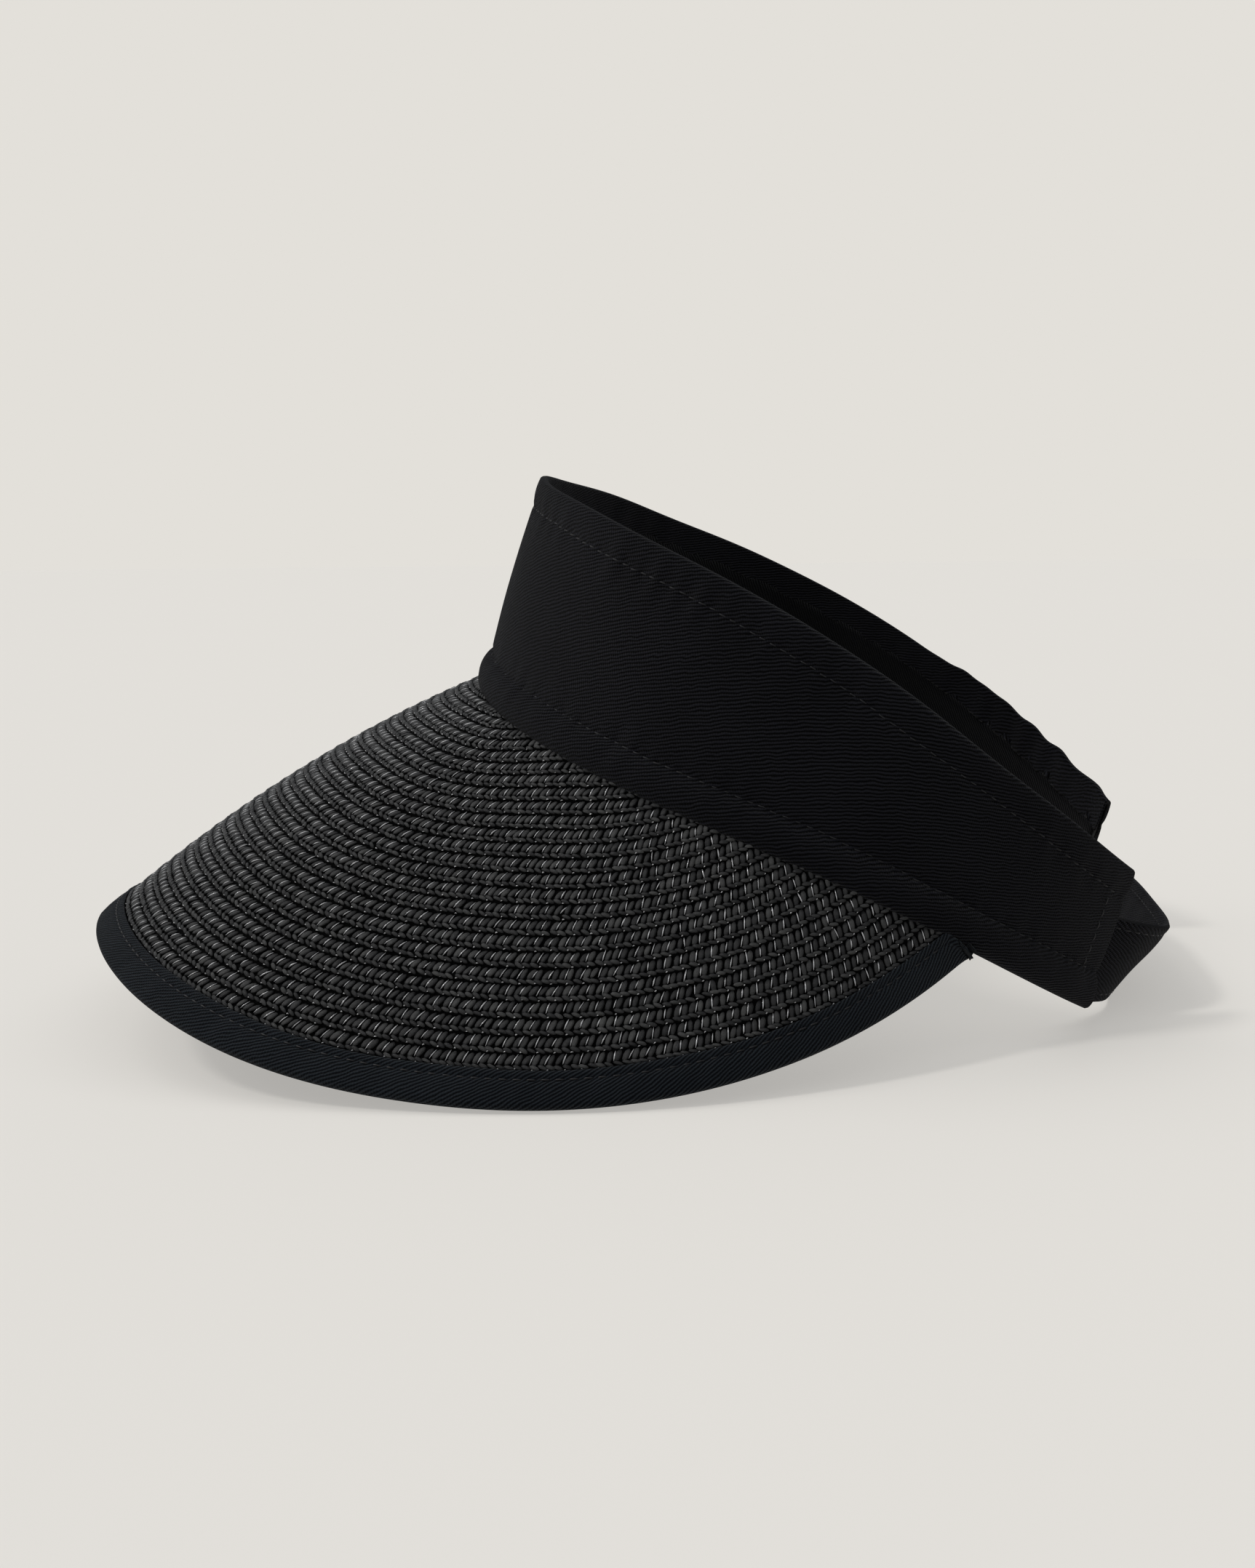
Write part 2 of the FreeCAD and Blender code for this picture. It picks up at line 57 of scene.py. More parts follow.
# ---- driving dimensions, the same as the design's ----
HALF_WIDTH, HALF_DEPTH, HEAD_SQUARENESS = 87.7, 95.5, 2.06
BAND_FRONT_HEIGHT = 54.3
TOP_BACK_CHANGE, TOP_SIDE_RISE, TOP_SIDE_SKEW = -35.7, 11.4, -3.3
LOW_BACK_CHANGE, LOW_SIDE_RISE, LOW_SIDE_SKEW = -14.6, 9.3, -6.9
LEAN_FRONT, LEAN_SIDE, LEAN_BACK = 0.10, -0.26, -0.01
WING_PHI, LEFT_END_PHI, RIGHT_END_PHI = 126.0, 147.5, 147.0
CLOTH, STIFFENER, LINING, PLY_GAP = 0.8, 0.8, 0.6, 0.05
STACK = CLOTH + STIFFENER + LINING + 2 * PLY_GAP
HEM, STITCH_INSET = 8.0, 7.5
ROLL_HEIGHT, ROLL_BULGE, ROLL_DROP = 8.1, 1.8, 0.8
HINGE_OFF = 2.1
BRIM_HALF_WIDTH, BRIM_REACH, BRIM_CENTRE_Y, BRIM_SQUARENESS = 131.1, 109.8, -48.6, 2.43
BRIM_DROPS = ((0.0, 95.0), (40.0, 82.9), (75.0, 74.6), (105.0, 53.5))
BRIM_DOME_FRONT, BRIM_DOME_SIDE, BRIM_DOME_SKEW, DOME_LENGTH = 7.0, 1.3, -0.11, 117.0
SEAM_OUT, SEAM_DROP = 0.9, 1.2
ROW_PITCH, ROW_THICKNESS, ROW_COUNT = 4.03, 1.2, 27
BINDING_WIDTH, BINDING_CLOTH = 8.6, 0.6
STRAP_PLY, STRAP_TOP_GAP, STRAP_LOW_GAP, STRAP_TIP_PHI = 0.8, 12.5, -1.0, 128.0
STRAP_BULGE_TOP, STRAP_BULGE_LOW, STRAP_START_GAP = 16.5, 9.0, 0.9
STRAP_BULGE_SKEW, STRAP_BULGE_POWER = 0.45, 4
TAPE, FASTENED_GAP = 0.6, 0.45
STITCH_PITCH, STITCH_LENGTH, THREAD_RADIUS = 3.0, 2.3, 0.2
TILT = math.radians(23.14382)
MM = 0.001


# ---- the shapes ----

def unit(v):
    return v / np.maximum(np.linalg.norm(v, axis=-1, keepdims=True), 1e-12)


def running(steps):
    """Length so far along a line, from the lengths of its steps."""
    return np.concatenate([[0], np.cumsum(steps)])


def superellipse(angle, half_x, half_y, power):
    """Plan points at bearings in radians from the front."""
    s, c = np.sin(angle), np.cos(angle)
    radius = (np.abs(s / half_x) ** power + np.abs(c / half_y) ** power) ** (-1 / power)
    return np.stack([radius * s, -radius * c], -1)


def low_edge(phi):
    c = np.cos(phi)
    side = np.sin(phi) ** 2
    return LOW_BACK_CHANGE * (1 - c) / 2 + (LOW_SIDE_RISE + LOW_SIDE_SKEW * c) * side


def top_edge(phi):
    c = np.cos(phi)
    side = np.sin(phi) ** 2
    change = TOP_BACK_CHANGE * (1 - c) / 2 + (TOP_SIDE_RISE + TOP_SIDE_SKEW * c) * side
    return BAND_FRONT_HEIGHT + change


def outward(phi):
    step = 1e-3
    along = (superellipse(phi + step, HALF_WIDTH, HALF_DEPTH, HEAD_SQUARENESS)
             - superellipse(phi - step, HALF_WIDTH, HALF_DEPTH, HEAD_SQUARENESS))
    return unit(np.stack([along[..., 1], -along[..., 0]], -1))


def outward_level(phi):
    """The outward direction as a level vector."""
    return np.concatenate([outward(phi), np.zeros((len(phi), 1))], 1)


def wall(phi, z, off):
    """Points of the band at bearings phi, heights z and depths off."""
    phi, z, off = np.broadcast_arrays(np.asarray(phi, float), z, off)
    plan = superellipse(phi, HALF_WIDTH, HALF_DEPTH, HEAD_SQUARENESS)
    radius = np.linalg.norm(plan, axis=-1)
    c2 = np.cos(phi) ** 2
    end_lean = np.where(np.cos(phi) > 0, LEAN_FRONT, LEAN_BACK)
    lean = end_lean * c2 + LEAN_SIDE * (1 - c2)
    plan = plan * ((radius + lean * z) / radius)[..., None] + outward(phi) * off[..., None]
    return np.concatenate([plan, z[..., None]], -1)


def tilted(p):
    p = np.asarray(p, float)
    s, c = math.sin(TILT), math.cos(TILT)
    y = p[..., 1] * c + p[..., 2] * s
    z = p[..., 2] * c - p[..., 1] * s
    return np.stack([p[..., 0], y, z], -1)


def find_shift():
    """What the design moved the tilted visor by, read from a hinge in the frame."""
    hinge = next(j for j in frame["joints"] if j["name"] == "left_wing_hinge")
    phi = math.radians(WING_PHI)
    foot = wall(phi, low_edge(phi), HINGE_OFF)
    return np.array(hinge["pos_m"]) / MM - tilted(foot)


SHIFT = find_shift()


def place(p):
    """Head-frame millimetres to row-frame metres."""
    return (tilted(p) + SHIFT) * MM


# ---- the brim's surface ----

def inside_ratio(plan):
    across = np.abs(plan[..., 0] / HALF_WIDTH) ** HEAD_SQUARENESS
    along = np.abs(plan[..., 1] / HALF_DEPTH) ** HEAD_SQUARENESS
    return across + along


def edge_plan(angle):
    plan = superellipse(angle, BRIM_HALF_WIDTH, BRIM_REACH, BRIM_SQUARENESS)
    return plan + np.array([0, BRIM_CENTRE_Y])


def seam_point(plan):
    phi = np.arctan2(plan[..., 0], -plan[..., 1])
    return wall(phi, low_edge(phi) - SEAM_DROP, SEAM_OUT)


def bisect(is_inside, low, high):
    """The last value outside, between low, which is outside, and high, which is inside."""
    for _ in range(50):
        middle = (low + high) / 2
        inside = is_inside(middle)
        high = np.where(inside, middle, high)
        low = np.where(inside, low, middle)
    return low


BRIM_END = float(bisect(lambda angle: inside_ratio(edge_plan(angle)) < 1,
                        math.radians(90), math.radians(178)))


def smooth_through(knots, values, at):
    """Natural cubic spline."""
    n = len(knots)
    h = np.diff(knots)
    matrix = np.eye(n)
    right = np.zeros(n)
    for i in range(1, n - 1):
        matrix[i, i - 1:i + 2] = h[i - 1], 2 * (h[i - 1] + h[i]), h[i]
        right[i] = 6 * ((values[i + 1] - values[i]) / h[i]
                        - (values[i] - values[i - 1]) / h[i - 1])
    m = np.linalg.solve(matrix, right)
    i = np.clip(np.searchsorted(knots, at) - 1, 0, n - 2)
    a, b = knots[i + 1] - at, at - knots[i]
    return ((m[i] * a ** 3 + m[i + 1] * b ** 3) / (6 * h[i])
            + (values[i] / h[i] - m[i] * h[i] / 6) * a
            + (values[i + 1] / h[i] - m[i + 1] * h[i] / 6) * b)


def edge_height(angle):
    angles = [math.radians(a) for a, _ in BRIM_DROPS] + [BRIM_END]
    heights = [-drop for _, drop in BRIM_DROPS]
    heights.append(float(seam_point(edge_plan(BRIM_END))[2]))
    knots = np.array([-a for a in reversed(angles[1:])] + angles)
    values = np.array(heights[:0:-1] + heights)
    return smooth_through(knots, values, angle)


BRIM_TABLE_STEP = 0.5
BRIM_TABLE_REACH = 134.0
BRIM_ANGLES = np.linspace(-BRIM_END, BRIM_END, 1201)
BRIM_DISTANCES = np.arange(-2.0, BRIM_TABLE_REACH, BRIM_TABLE_STEP)


def brim_table():
    """Brim points on a grid of edge angle and distance in from the outer edge."""
    angle = BRIM_ANGLES
    outer = edge_plan(angle)
    step = 1e-3
    along = edge_plan(angle + step) - edge_plan(angle - step)
    inward = unit(np.stack([-along[:, 1], along[:, 0]], -1))
    reach = np.arange(0, 200.0, 1.0)
    ratio = inside_ratio(outer[:, None] + inward[:, None] * reach[:, None])
    nearest = reach[np.argmin(ratio, 1)]

    def within(distance):
        return inside_ratio(outer + inward * distance[:, None]) < 1

    reach = np.where(within(nearest), bisect(within, 0 * nearest, nearest), nearest)
    start = np.concatenate([outer, edge_height(angle)[:, None]], 1)
    end = seam_point(outer + inward * reach[:, None])
    chord = end - start
    length = np.maximum(np.linalg.norm(chord, axis=1), 1e-6)
    level = chord * np.array([1, 1, 0])
    short = np.linalg.norm(level, axis=1) < 0.05
    level[short] = np.concatenate([inward, np.zeros((len(angle), 1))], 1)[short]
    level = unit(level)
    up = np.array([0, 0, 1.0]) * (level * chord).sum(1, keepdims=True)
    up = (up - level * chord[:, 2:3]) / length[:, None]
    weight = BRIM_DOME_FRONT * np.cos(angle) ** 2 + BRIM_DOME_SIDE * np.sin(angle) ** 2
    dome = weight * (length / DOME_LENGTH) ** 2
    t = np.linspace(0, 1, 49)
    rise = dome[:, None] * (4 * t * (1 - t) * (1 + BRIM_DOME_SKEW * (2 * t - 1)))
    points = start[:, None] + chord[:, None] * t[None, :, None] + up[:, None] * rise[..., None]
    steps = np.linalg.norm(np.diff(points, axis=1), axis=2)
    lengths = np.concatenate([np.zeros((len(angle), 1)), np.cumsum(steps, 1)], 1)
    table = np.empty((len(angle), len(BRIM_DISTANCES), 3))
    for i in range(len(angle)):
        first = (points[i, 1] - points[i, 0]) / max(steps[i, 0], 1e-9)
        last = (points[i, -1] - points[i, -2]) / max(steps[i, -1], 1e-9)
        d = BRIM_DISTANCES
        for axis in range(3):
            table[i, :, axis] = np.interp(d, lengths[i], points[i, :, axis])
        table[i] += np.minimum(d, 0)[:, None] * first
        table[i] += np.maximum(d - lengths[i, -1], 0)[:, None] * last
    return table, lengths[:, -1]


BRIM_POINTS, BRIM_LENGTHS = brim_table()


def brim_point(angle, distance):
    """Points of the brim's middle surface, interpolated in its table."""
    angle, distance = np.broadcast_arrays(np.asarray(angle, float), distance)
    a = (angle + BRIM_END) / (2 * BRIM_END) * (len(BRIM_ANGLES) - 1)
    d = (distance - BRIM_DISTANCES[0]) / BRIM_TABLE_STEP
    i = np.clip(a.astype(int), 0, len(BRIM_ANGLES) - 2)
    j = np.clip(d.astype(int), 0, len(BRIM_DISTANCES) - 2)
    fa, fd = (a - i)[..., None], (d - j)[..., None]
    near = BRIM_POINTS[i, j] * (1 - fd) + BRIM_POINTS[i, j + 1] * fd
    far = BRIM_POINTS[i + 1, j] * (1 - fd) + BRIM_POINTS[i + 1, j + 1] * fd
    return near * (1 - fa) + far * fa


def brim_axes(angle, distance):
    """Point, direction along the row, direction inwards and upward normal."""
    step = 0.004
    low = np.clip(angle - step, -BRIM_END, BRIM_END)
    high = np.clip(angle + step, -BRIM_END, BRIM_END)
    along = unit(brim_point(high, distance) - brim_point(low, distance))
    inward = unit(brim_point(angle, distance + 1.5) - brim_point(angle, distance - 1.0))
    normal = unit(np.cross(inward, along))
    normal *= np.where(normal[..., 2:3] < 0, -1, 1)
    inward = unit(inward - along * (inward * along).sum(-1, keepdims=True))
    return brim_point(angle, distance), along, inward, normal


def brim_width(angle):
    return np.interp(angle, BRIM_ANGLES, BRIM_LENGTHS)


# ---- mesh helpers ----

END_DIP = 1.3      # how far a stitch's ends dive, in its radii


def new_mesh(name, points, quads, rings=(), uv=None, tint=None, material_ids=None):
    """Smooth mesh object from metre points, quads and end polygons."""
    mesh = bpy.data.meshes.new(name)
    rings = [np.asarray(r, int) for r in rings]
    sizes = [np.full(len(quads), 4)] + [np.full(len(r), r.shape[1]) for r in rings]
    sizes = np.concatenate(sizes)
    loops = np.concatenate([np.asarray(quads, int).ravel()] + [r.ravel() for r in rings])
    mesh.vertices.add(len(points))
    mesh.vertices.foreach_set("co", np.asarray(points, np.float32).ravel())
    mesh.loops.add(len(loops))
    mesh.loops.foreach_set("vertex_index", loops.astype(np.int32))
    starts = np.concatenate([[0], np.cumsum(sizes)[:-1]])
    mesh.polygons.add(len(sizes))
    mesh.polygons.foreach_set("loop_start", starts.astype(np.int32))
    mesh.polygons.foreach_set("loop_total", sizes.astype(np.int32))
    if material_ids is not None:
        mesh.polygons.foreach_set("material_index", np.asarray(material_ids, np.int32))
    mesh.update(calc_edges=True)
    mesh.validate()
    if uv is not None:
        layer = mesh.uv_layers.new(name="UVMap")
        layer.data.foreach_set("uv", np.asarray(uv, np.float32)[loops].ravel())
    if tint is not None:
        attribute = mesh.attributes.new("tint", "FLOAT", "POINT")
        attribute.data.foreach_set("value", np.asarray(tint, np.float32))
    mesh.shade_smooth()
    piece = bpy.data.objects.new(name, mesh)
    bpy.context.scene.collection.objects.link(piece)
    return piece


def grid_quads(rows, columns, close_columns=False, start=0):
    """Quads of a grid whose points run column by column within each row."""
    last = columns if close_columns else columns - 1
    i, j = np.meshgrid(np.arange(rows - 1), np.arange(last), indexing="ij")
    k = (j + 1) % columns
    quads = np.stack([i * columns + j, i * columns + k,
                      (i + 1) * columns + k, (i + 1) * columns + j], -1)
    return quads.reshape(-1, 4) + start


def end_polygons(rows, columns):
    """The two end faces of a tube of rings."""
    ring = np.arange(columns)
    return np.stack([ring[::-1], ring + (rows - 1) * columns])


def strip_piece(name, sections, uv):
    """Closed solid along sections, an array (stations, section points, 3)."""
    size = sections.shape[:2]
    piece = new_mesh(name, place(sections).reshape(-1, 3), grid_quads(*size, True),
                     [end_polygons(*size)], uv.reshape(-1, 2))
    face_out(piece)
    return piece


def cloth_uv(length, across, shape):
    """UV in millimetres, along the cloth and round its section."""
    return np.stack([np.broadcast_to(length[:, None], shape), np.broadcast_to(across, shape)], -1)


def round_section(a, b):
    """Length round a section, from its mean coordinates."""
    return running(np.hypot(np.diff(a.mean(0)), np.diff(b.mean(0))))


def face_out(piece):
    """Turns the faces outwards on a closed mesh whose signed volume is negative."""
    mesh = piece.data
    mesh.calc_loop_triangles()
    co = np.empty(len(mesh.vertices) * 3, np.float32)
    mesh.vertices.foreach_get("co", co)
    co = co.reshape(-1, 3).astype(float)
    tri = np.empty(len(mesh.loop_triangles) * 3, np.int32)
    mesh.loop_triangles.foreach_get("vertices", tri)
    a, b, c = co[tri.reshape(-1, 3)].transpose(1, 0, 2)
    a, b, c = a - co.mean(0), b - co.mean(0), c - co.mean(0)
    if (a * np.cross(b, c)).sum() < 0:
        mesh.flip_normals()


def bundle(centre, axes, x, y, z):
    """Points, faces and end polygons of many rods, from offsets along each rod's own axes."""
    n, stations, around = x.shape
    points = centre[:, None, None]
    for axis, offset in zip(axes, (x, y, z)):
        points = points + axis[:, None, None] * offset[..., None]
    first = np.arange(n)[:, None, None] * stations * around
    quads = grid_quads(stations, around, True) + first
    caps = end_polygons(stations, around) + first
    return points.reshape(-1, 3), quads.reshape(-1, 4), caps.reshape(-1, around)


def capsules(name, centres, along, side, up, length, radius, stations=5, around=6):
    """Many small round-ended rods in one mesh, whose ends dip; in head-frame millimetres."""
    n = len(centres)
    length = np.broadcast_to(length, n)[:, None, None]
    radius = np.broadcast_to(radius, n)[:, None, None]
    t = np.linspace(-1, 1, stations)[:, None]
    swell = np.sqrt(np.clip(1 - (np.abs(t) * 0.97) ** 4, 0.02, 1))
    turn = np.arange(around) * 2 * math.pi / around
    x = np.broadcast_to(t / 2 * length, (n, stations, around))
    y = swell * np.cos(turn) * radius
    z = swell * np.sin(turn) * radius - t ** 2 * radius * END_DIP
    points, quads, caps = bundle(centres, (along, side, up), x, y, z)
    return new_mesh(name, place(points), quads, [caps])


def waves(x, seed, scale, amplitude=1.0, terms=7):
    """Smooth repeatable unevenness along a length in millimetres."""
    draw = np.random.default_rng(seed)
    total = np.zeros_like(np.asarray(x, float))
    for _ in range(terms):
        wavelength = scale * draw.uniform(0.6, 1.8)
        total += np.sin(2 * math.pi * x / wavelength + draw.uniform(0, 2 * math.pi))
    return amplitude * total / math.sqrt(terms)


# ---- materials ----

class Nodes:
    """A few short words for wiring a material."""

    def __init__(self, name):
        self.material = bpy.data.materials.new(name)
        self.material.use_nodes = True
        self.tree = self.material.node_tree
        self.shader = self.tree.nodes["Principled BSDF"]

    def add(self, kind, **settings):
        node = self.tree.nodes.new(kind)
        for key, value in settings.items():
            setattr(node, key, value)
        return node

    def link(self, a, b):
        self.tree.links.new(a, b)

    def math(self, operation, *values, clamp=False):
        node = self.add("ShaderNodeMath", operation=operation, use_clamp=clamp)
        for i, value in enumerate(values):
            if isinstance(value, (int, float)):
                node.inputs[i].default_value = value
            else:
                self.link(value, node.inputs[i])
        return node.outputs[0]

    def total(self, *parts, clamp=False):
        """Sum of outputs, each times its weight."""
        result = self.math("MULTIPLY", *parts[0])
        for part in parts[1:]:
            last = clamp and part is parts[-1]
            result = self.math("ADD", result, self.math("MULTIPLY", *part), clamp=last)
        return result

    def uv(self):
        node = self.add("ShaderNodeUVMap", uv_map="UVMap")
        split = self.add("ShaderNodeSeparateXYZ")
        self.link(node.outputs[0], split.inputs[0])
        return node.outputs[0], split.outputs[0], split.outputs[1]

    def scaled(self, vector, scale):
        node = self.add("ShaderNodeVectorMath", operation="MULTIPLY")
        self.link(vector, node.inputs[0])
        node.inputs[1].default_value = scale
        return node.outputs[0]

    def noise(self, vector, scale, detail=3.0, roughness=0.6):
        node = self.add("ShaderNodeTexNoise")
        node.inputs["Scale"].default_value = scale
        node.inputs["Detail"].default_value = detail
        node.inputs["Roughness"].default_value = roughness
        self.link(vector, node.inputs["Vector"])
        return node.outputs["Fac"]

    def ramp(self, fac, stops):
        node = self.add("ShaderNodeValToRGB")
        ramp = node.color_ramp
        while len(ramp.elements) < len(stops):
            ramp.elements.new(0.5)
        for element, (position, colour) in zip(ramp.elements, stops):
            element.position = position
            element.color = (*colour, 1)
        self.link(fac, node.inputs["Fac"])
        return node.outputs["Color"]

    def bump(self, height, distance):
        node = self.add("ShaderNodeBump")
        node.inputs["Distance"].default_value = distance
        node.inputs["Strength"].default_value = 1.0
        self.link(height, node.inputs["Height"])
        return node.outputs["Normal"]

    def finish(self, colour, normal=None, roughness=None, **constants):
        for socket, source in (("Base Color", colour), ("Normal", normal),
                               ("Roughness", roughness)):
            if source is not None:
                self.link(source, self.shader.inputs[socket])
        for key, value in constants.items():
            self.shader.inputs[key.replace("_", " ")].default_value = value
        return self.material


def twill(name, dark, light, rib_angle, rib_pitch, yarn_pitch, sheen=0.06):
    """Twill woven cloth; the UV map runs in millimetres along and across the cloth."""
    n = Nodes(name)
    uv, u, v = n.uv()
    wobble = n.math("MULTIPLY", n.math("SUBTRACT", n.noise(uv, 0.22, 2.0), 0.5), 1.4)
    s, c = math.sin(math.radians(rib_angle)), math.cos(math.radians(rib_angle))
    across = n.total((v, c), (u, -s))
    along = n.total((u, c), (v, s))
    phase = n.math("ADD", n.math("DIVIDE", across, rib_pitch), wobble)
    rib = n.math("SINE", n.math("MULTIPLY", phase, 2 * math.pi))
    shift = n.math("MULTIPLY", n.math("FLOOR", phase), 0.37)
    yarn_phase = n.math("ADD", n.math("DIVIDE", along, yarn_pitch), shift)
    yarn = n.math("SINE", n.math("MULTIPLY", yarn_phase, 2 * math.pi))
    fibre = n.noise(uv, 5.5, 4.0, 0.75)
    slub = n.noise(n.scaled(uv, (0.25, 1.6, 1)), 1.0, 3.0, 0.7)
    patch = n.noise(uv, 0.035, 3.0, 0.6)
    height = n.total((rib, 0.55), (yarn, 0.22), (fibre, 0.9), (slub, 0.8))
    tone = n.total((rib, 0.42), (yarn, 0.05), (fibre, 0.34), (slub, 0.20), (patch, 0.5),
                   clamp=True)
    middle = tuple((a + b) / 2 for a, b in zip(dark, light))
    colour = n.ramp(tone, [(0.25, dark), (0.6, middle), (0.95, light)])
    rough = n.math("ADD", n.math("MULTIPLY", fibre, 0.2), 0.72)
    return n.finish(colour, n.bump(height, 0.00022), rough, Sheen_Weight=sheen,
                    Sheen_Roughness=0.45, Specular_IOR_Level=0.02)


def straw():
    """Twisted paper straw: satin, with fine creases along each strand."""
    n = Nodes("paper_straw")
    uv, _, _ = n.uv()
    tint = n.add("ShaderNodeAttribute", attribute_name="tint").outputs["Fac"]
    creases = n.noise(n.scaled(uv, (0.5, 5.0, 1)), 2.2, 4.0, 0.7)
    flecks = n.noise(uv, 1.3, 3.0, 0.6)
    tone = n.total((creases, 0.5), (tint, 0.5), (flecks, 0.16), clamp=True)
    colour = n.ramp(tone, [(0.22, (0.006, 0.006, 0.0066)), (0.52, (0.021, 0.021, 0.0220)),
                           (0.85, (0.058, 0.058, 0.0575))])
    rough = n.math("ADD", n.math("MULTIPLY", creases, 0.30), 0.22)
    return n.finish(colour, n.bump(creases, 0.00016), rough, Specular_IOR_Level=0.16)


def filament():
    """Clear nylon thread with a hard gloss; its pale grey colour, brighter and dimmer along the
    thread, is painted glint.
    """
    n = Nodes("clear_filament_painted_glint")
    position = n.add("ShaderNodeTexCoord").outputs["Object"]
    # patches along the thread painted brighter and dimmer: painted glint
    grain = n.noise(position, 900.0, 2.0)
    colour = n.ramp(grain, [(0.3, (0.30, 0.30, 0.31)), (0.7, (0.52, 0.52, 0.53))])
    return n.finish(colour, n.bump(grain, 0.00002), None, Roughness=0.16,
                    Specular_IOR_Level=0.8, Coat_Weight=0.6, Coat_Roughness=0.08)


def plain(name, dark, light, roughness, scale=1500.0, bump=0.00006, **constants):
    """Fine-grained material in object space, for thread, tape and hidden plies."""
    n = Nodes(name)
    position = n.add("ShaderNodeTexCoord").outputs["Object"]
    grain = n.noise(position, scale, 4.0, 0.7)
    colour = n.ramp(grain, [(0.3, dark), (0.72, light)])
    return n.finish(colour, n.bump(grain, bump), None, Roughness=roughness, **constants)


# name, darkest and lightest colour, rib angle, rib pitch and yarn pitch in millimetres, sheen
BAND_CLOTH = twill("black_twill", (0.0003, 0.0003, 0.0005), (0.0125, 0.0127, 0.0165),
                   27.0, 0.84, 0.6)
HEM_CLOTH = twill("black_twill_bias", (0.0018, 0.0024, 0.0036), (0.0190, 0.0235, 0.0290),
                  -35.0, 0.85, 0.6)
LINING_CLOTH = twill("black_lining", (0.002, 0.002, 0.0024), (0.009, 0.009, 0.010),
                     45.0, 0.7, 0.5, 0.05)
SWEAT_CLOTH = twill("brushed_sweatband", (0.003, 0.003, 0.0034), (0.013, 0.013, 0.0145),
                    0.0, 1.1, 1.1, 0.15)
STRAW = straw()
FILAMENT_PAINTED_GLINT = filament()
# near-black strip under each row's strands: painted shade in the gaps of the braid
STRAW_CORE_PAINTED_SHADE = plain("straw_core_painted_shade", (0.0010, 0.0010, 0.0011), (0.0035, 0.0035, 0.0036), 0.9,
                   Specular_IOR_Level=0.03)
THREAD = plain("sewing_thread", (0.002, 0.002, 0.003), (0.009, 0.009, 0.011), 0.5, 2600.0,
               Specular_IOR_Level=0.3)
HOOK_TAPE = plain("hook_tape", (0.010, 0.010, 0.012), (0.05, 0.05, 0.055), 0.45, 1800.0, 0.0003)
LOOP_TAPE = plain("loop_tape", (0.012, 0.012, 0.013), (0.06, 0.06, 0.065), 0.8, 1400.0, 0.0004,
                  Sheen_Weight=0.6)
# pale grey nylon for hooks and loop fibres: painted glint on the dark tape
NYLON_PAINTED_GLINT = plain("nylon_fibre_painted_glint", (0.05, 0.05, 0.055), (0.35, 0.35, 0.36), 0.3, 2000.0)
STIFFENER_FELT = plain("interlining_felt", (0.5, 0.5, 0.48), (0.75, 0.75, 0.72),
                       0.9, 900.0, 0.0001)
BONING = plain("edge_boning", (0.45, 0.45, 0.44), (0.6, 0.6, 0.58), 0.4, 300.0)
ELASTIC = plain("woven_elastic", (0.015, 0.015, 0.016), (0.06, 0.06, 0.06), 0.7, 700.0, 0.0002)


def dress(piece, material):
    piece.data.materials.append(material)
    return piece


def stitches(name, centre, along, up):
    """Sewing thread, one rod for each stitch."""
    piece = capsules(name, centre, along, unit(np.cross(up, along)), up,
                     STITCH_LENGTH, THREAD_RADIUS)
    return dress(piece, THREAD)


# ---- camera, light and floor ----

IMAGE_HEIGHT, SENSOR = 2156, 36.0
CAMERA_AT = (0.45498, 0.09502, 0.11072)
CAMERA_TURN = (82.0058, 0.5466, 97.3833)
FOCAL_PIXELS = 2346.4
PRINCIPAL_SHIFT = (210.3, 21.7)
BACKDROP = (0.768, 0.745, 0.701)
AMBIENT, AMBIENT_COLOUR = 0.36, (0.93, 0.965, 1.0)
# name, direction of the light's source, strength, angular size in degrees, colour
SUNS = (("key", (-0.10, -0.85, 1.0), 1.05, 50, (1.0, 0.985, 0.96)),
        ("glint", (0.35, -0.75, 1.0), 0.90, 9, (1.0, 0.99, 0.97)),
        ("top", (-0.5, 0.15, 1.0), 0.45, 90, (1.0, 1.0, 1.0)))
FLOOR_COLOUR = (0.385, 0.372, 0.350)
FLOOR_GLOW, FLOOR_GLOW_COLOUR = 0.40, (1.0, 0.972, 0.925)
FLOOR_RADIUS, FLOOR_DROP, FLOOR_UNEVENNESS = 60.0, 0.0003, 1.004


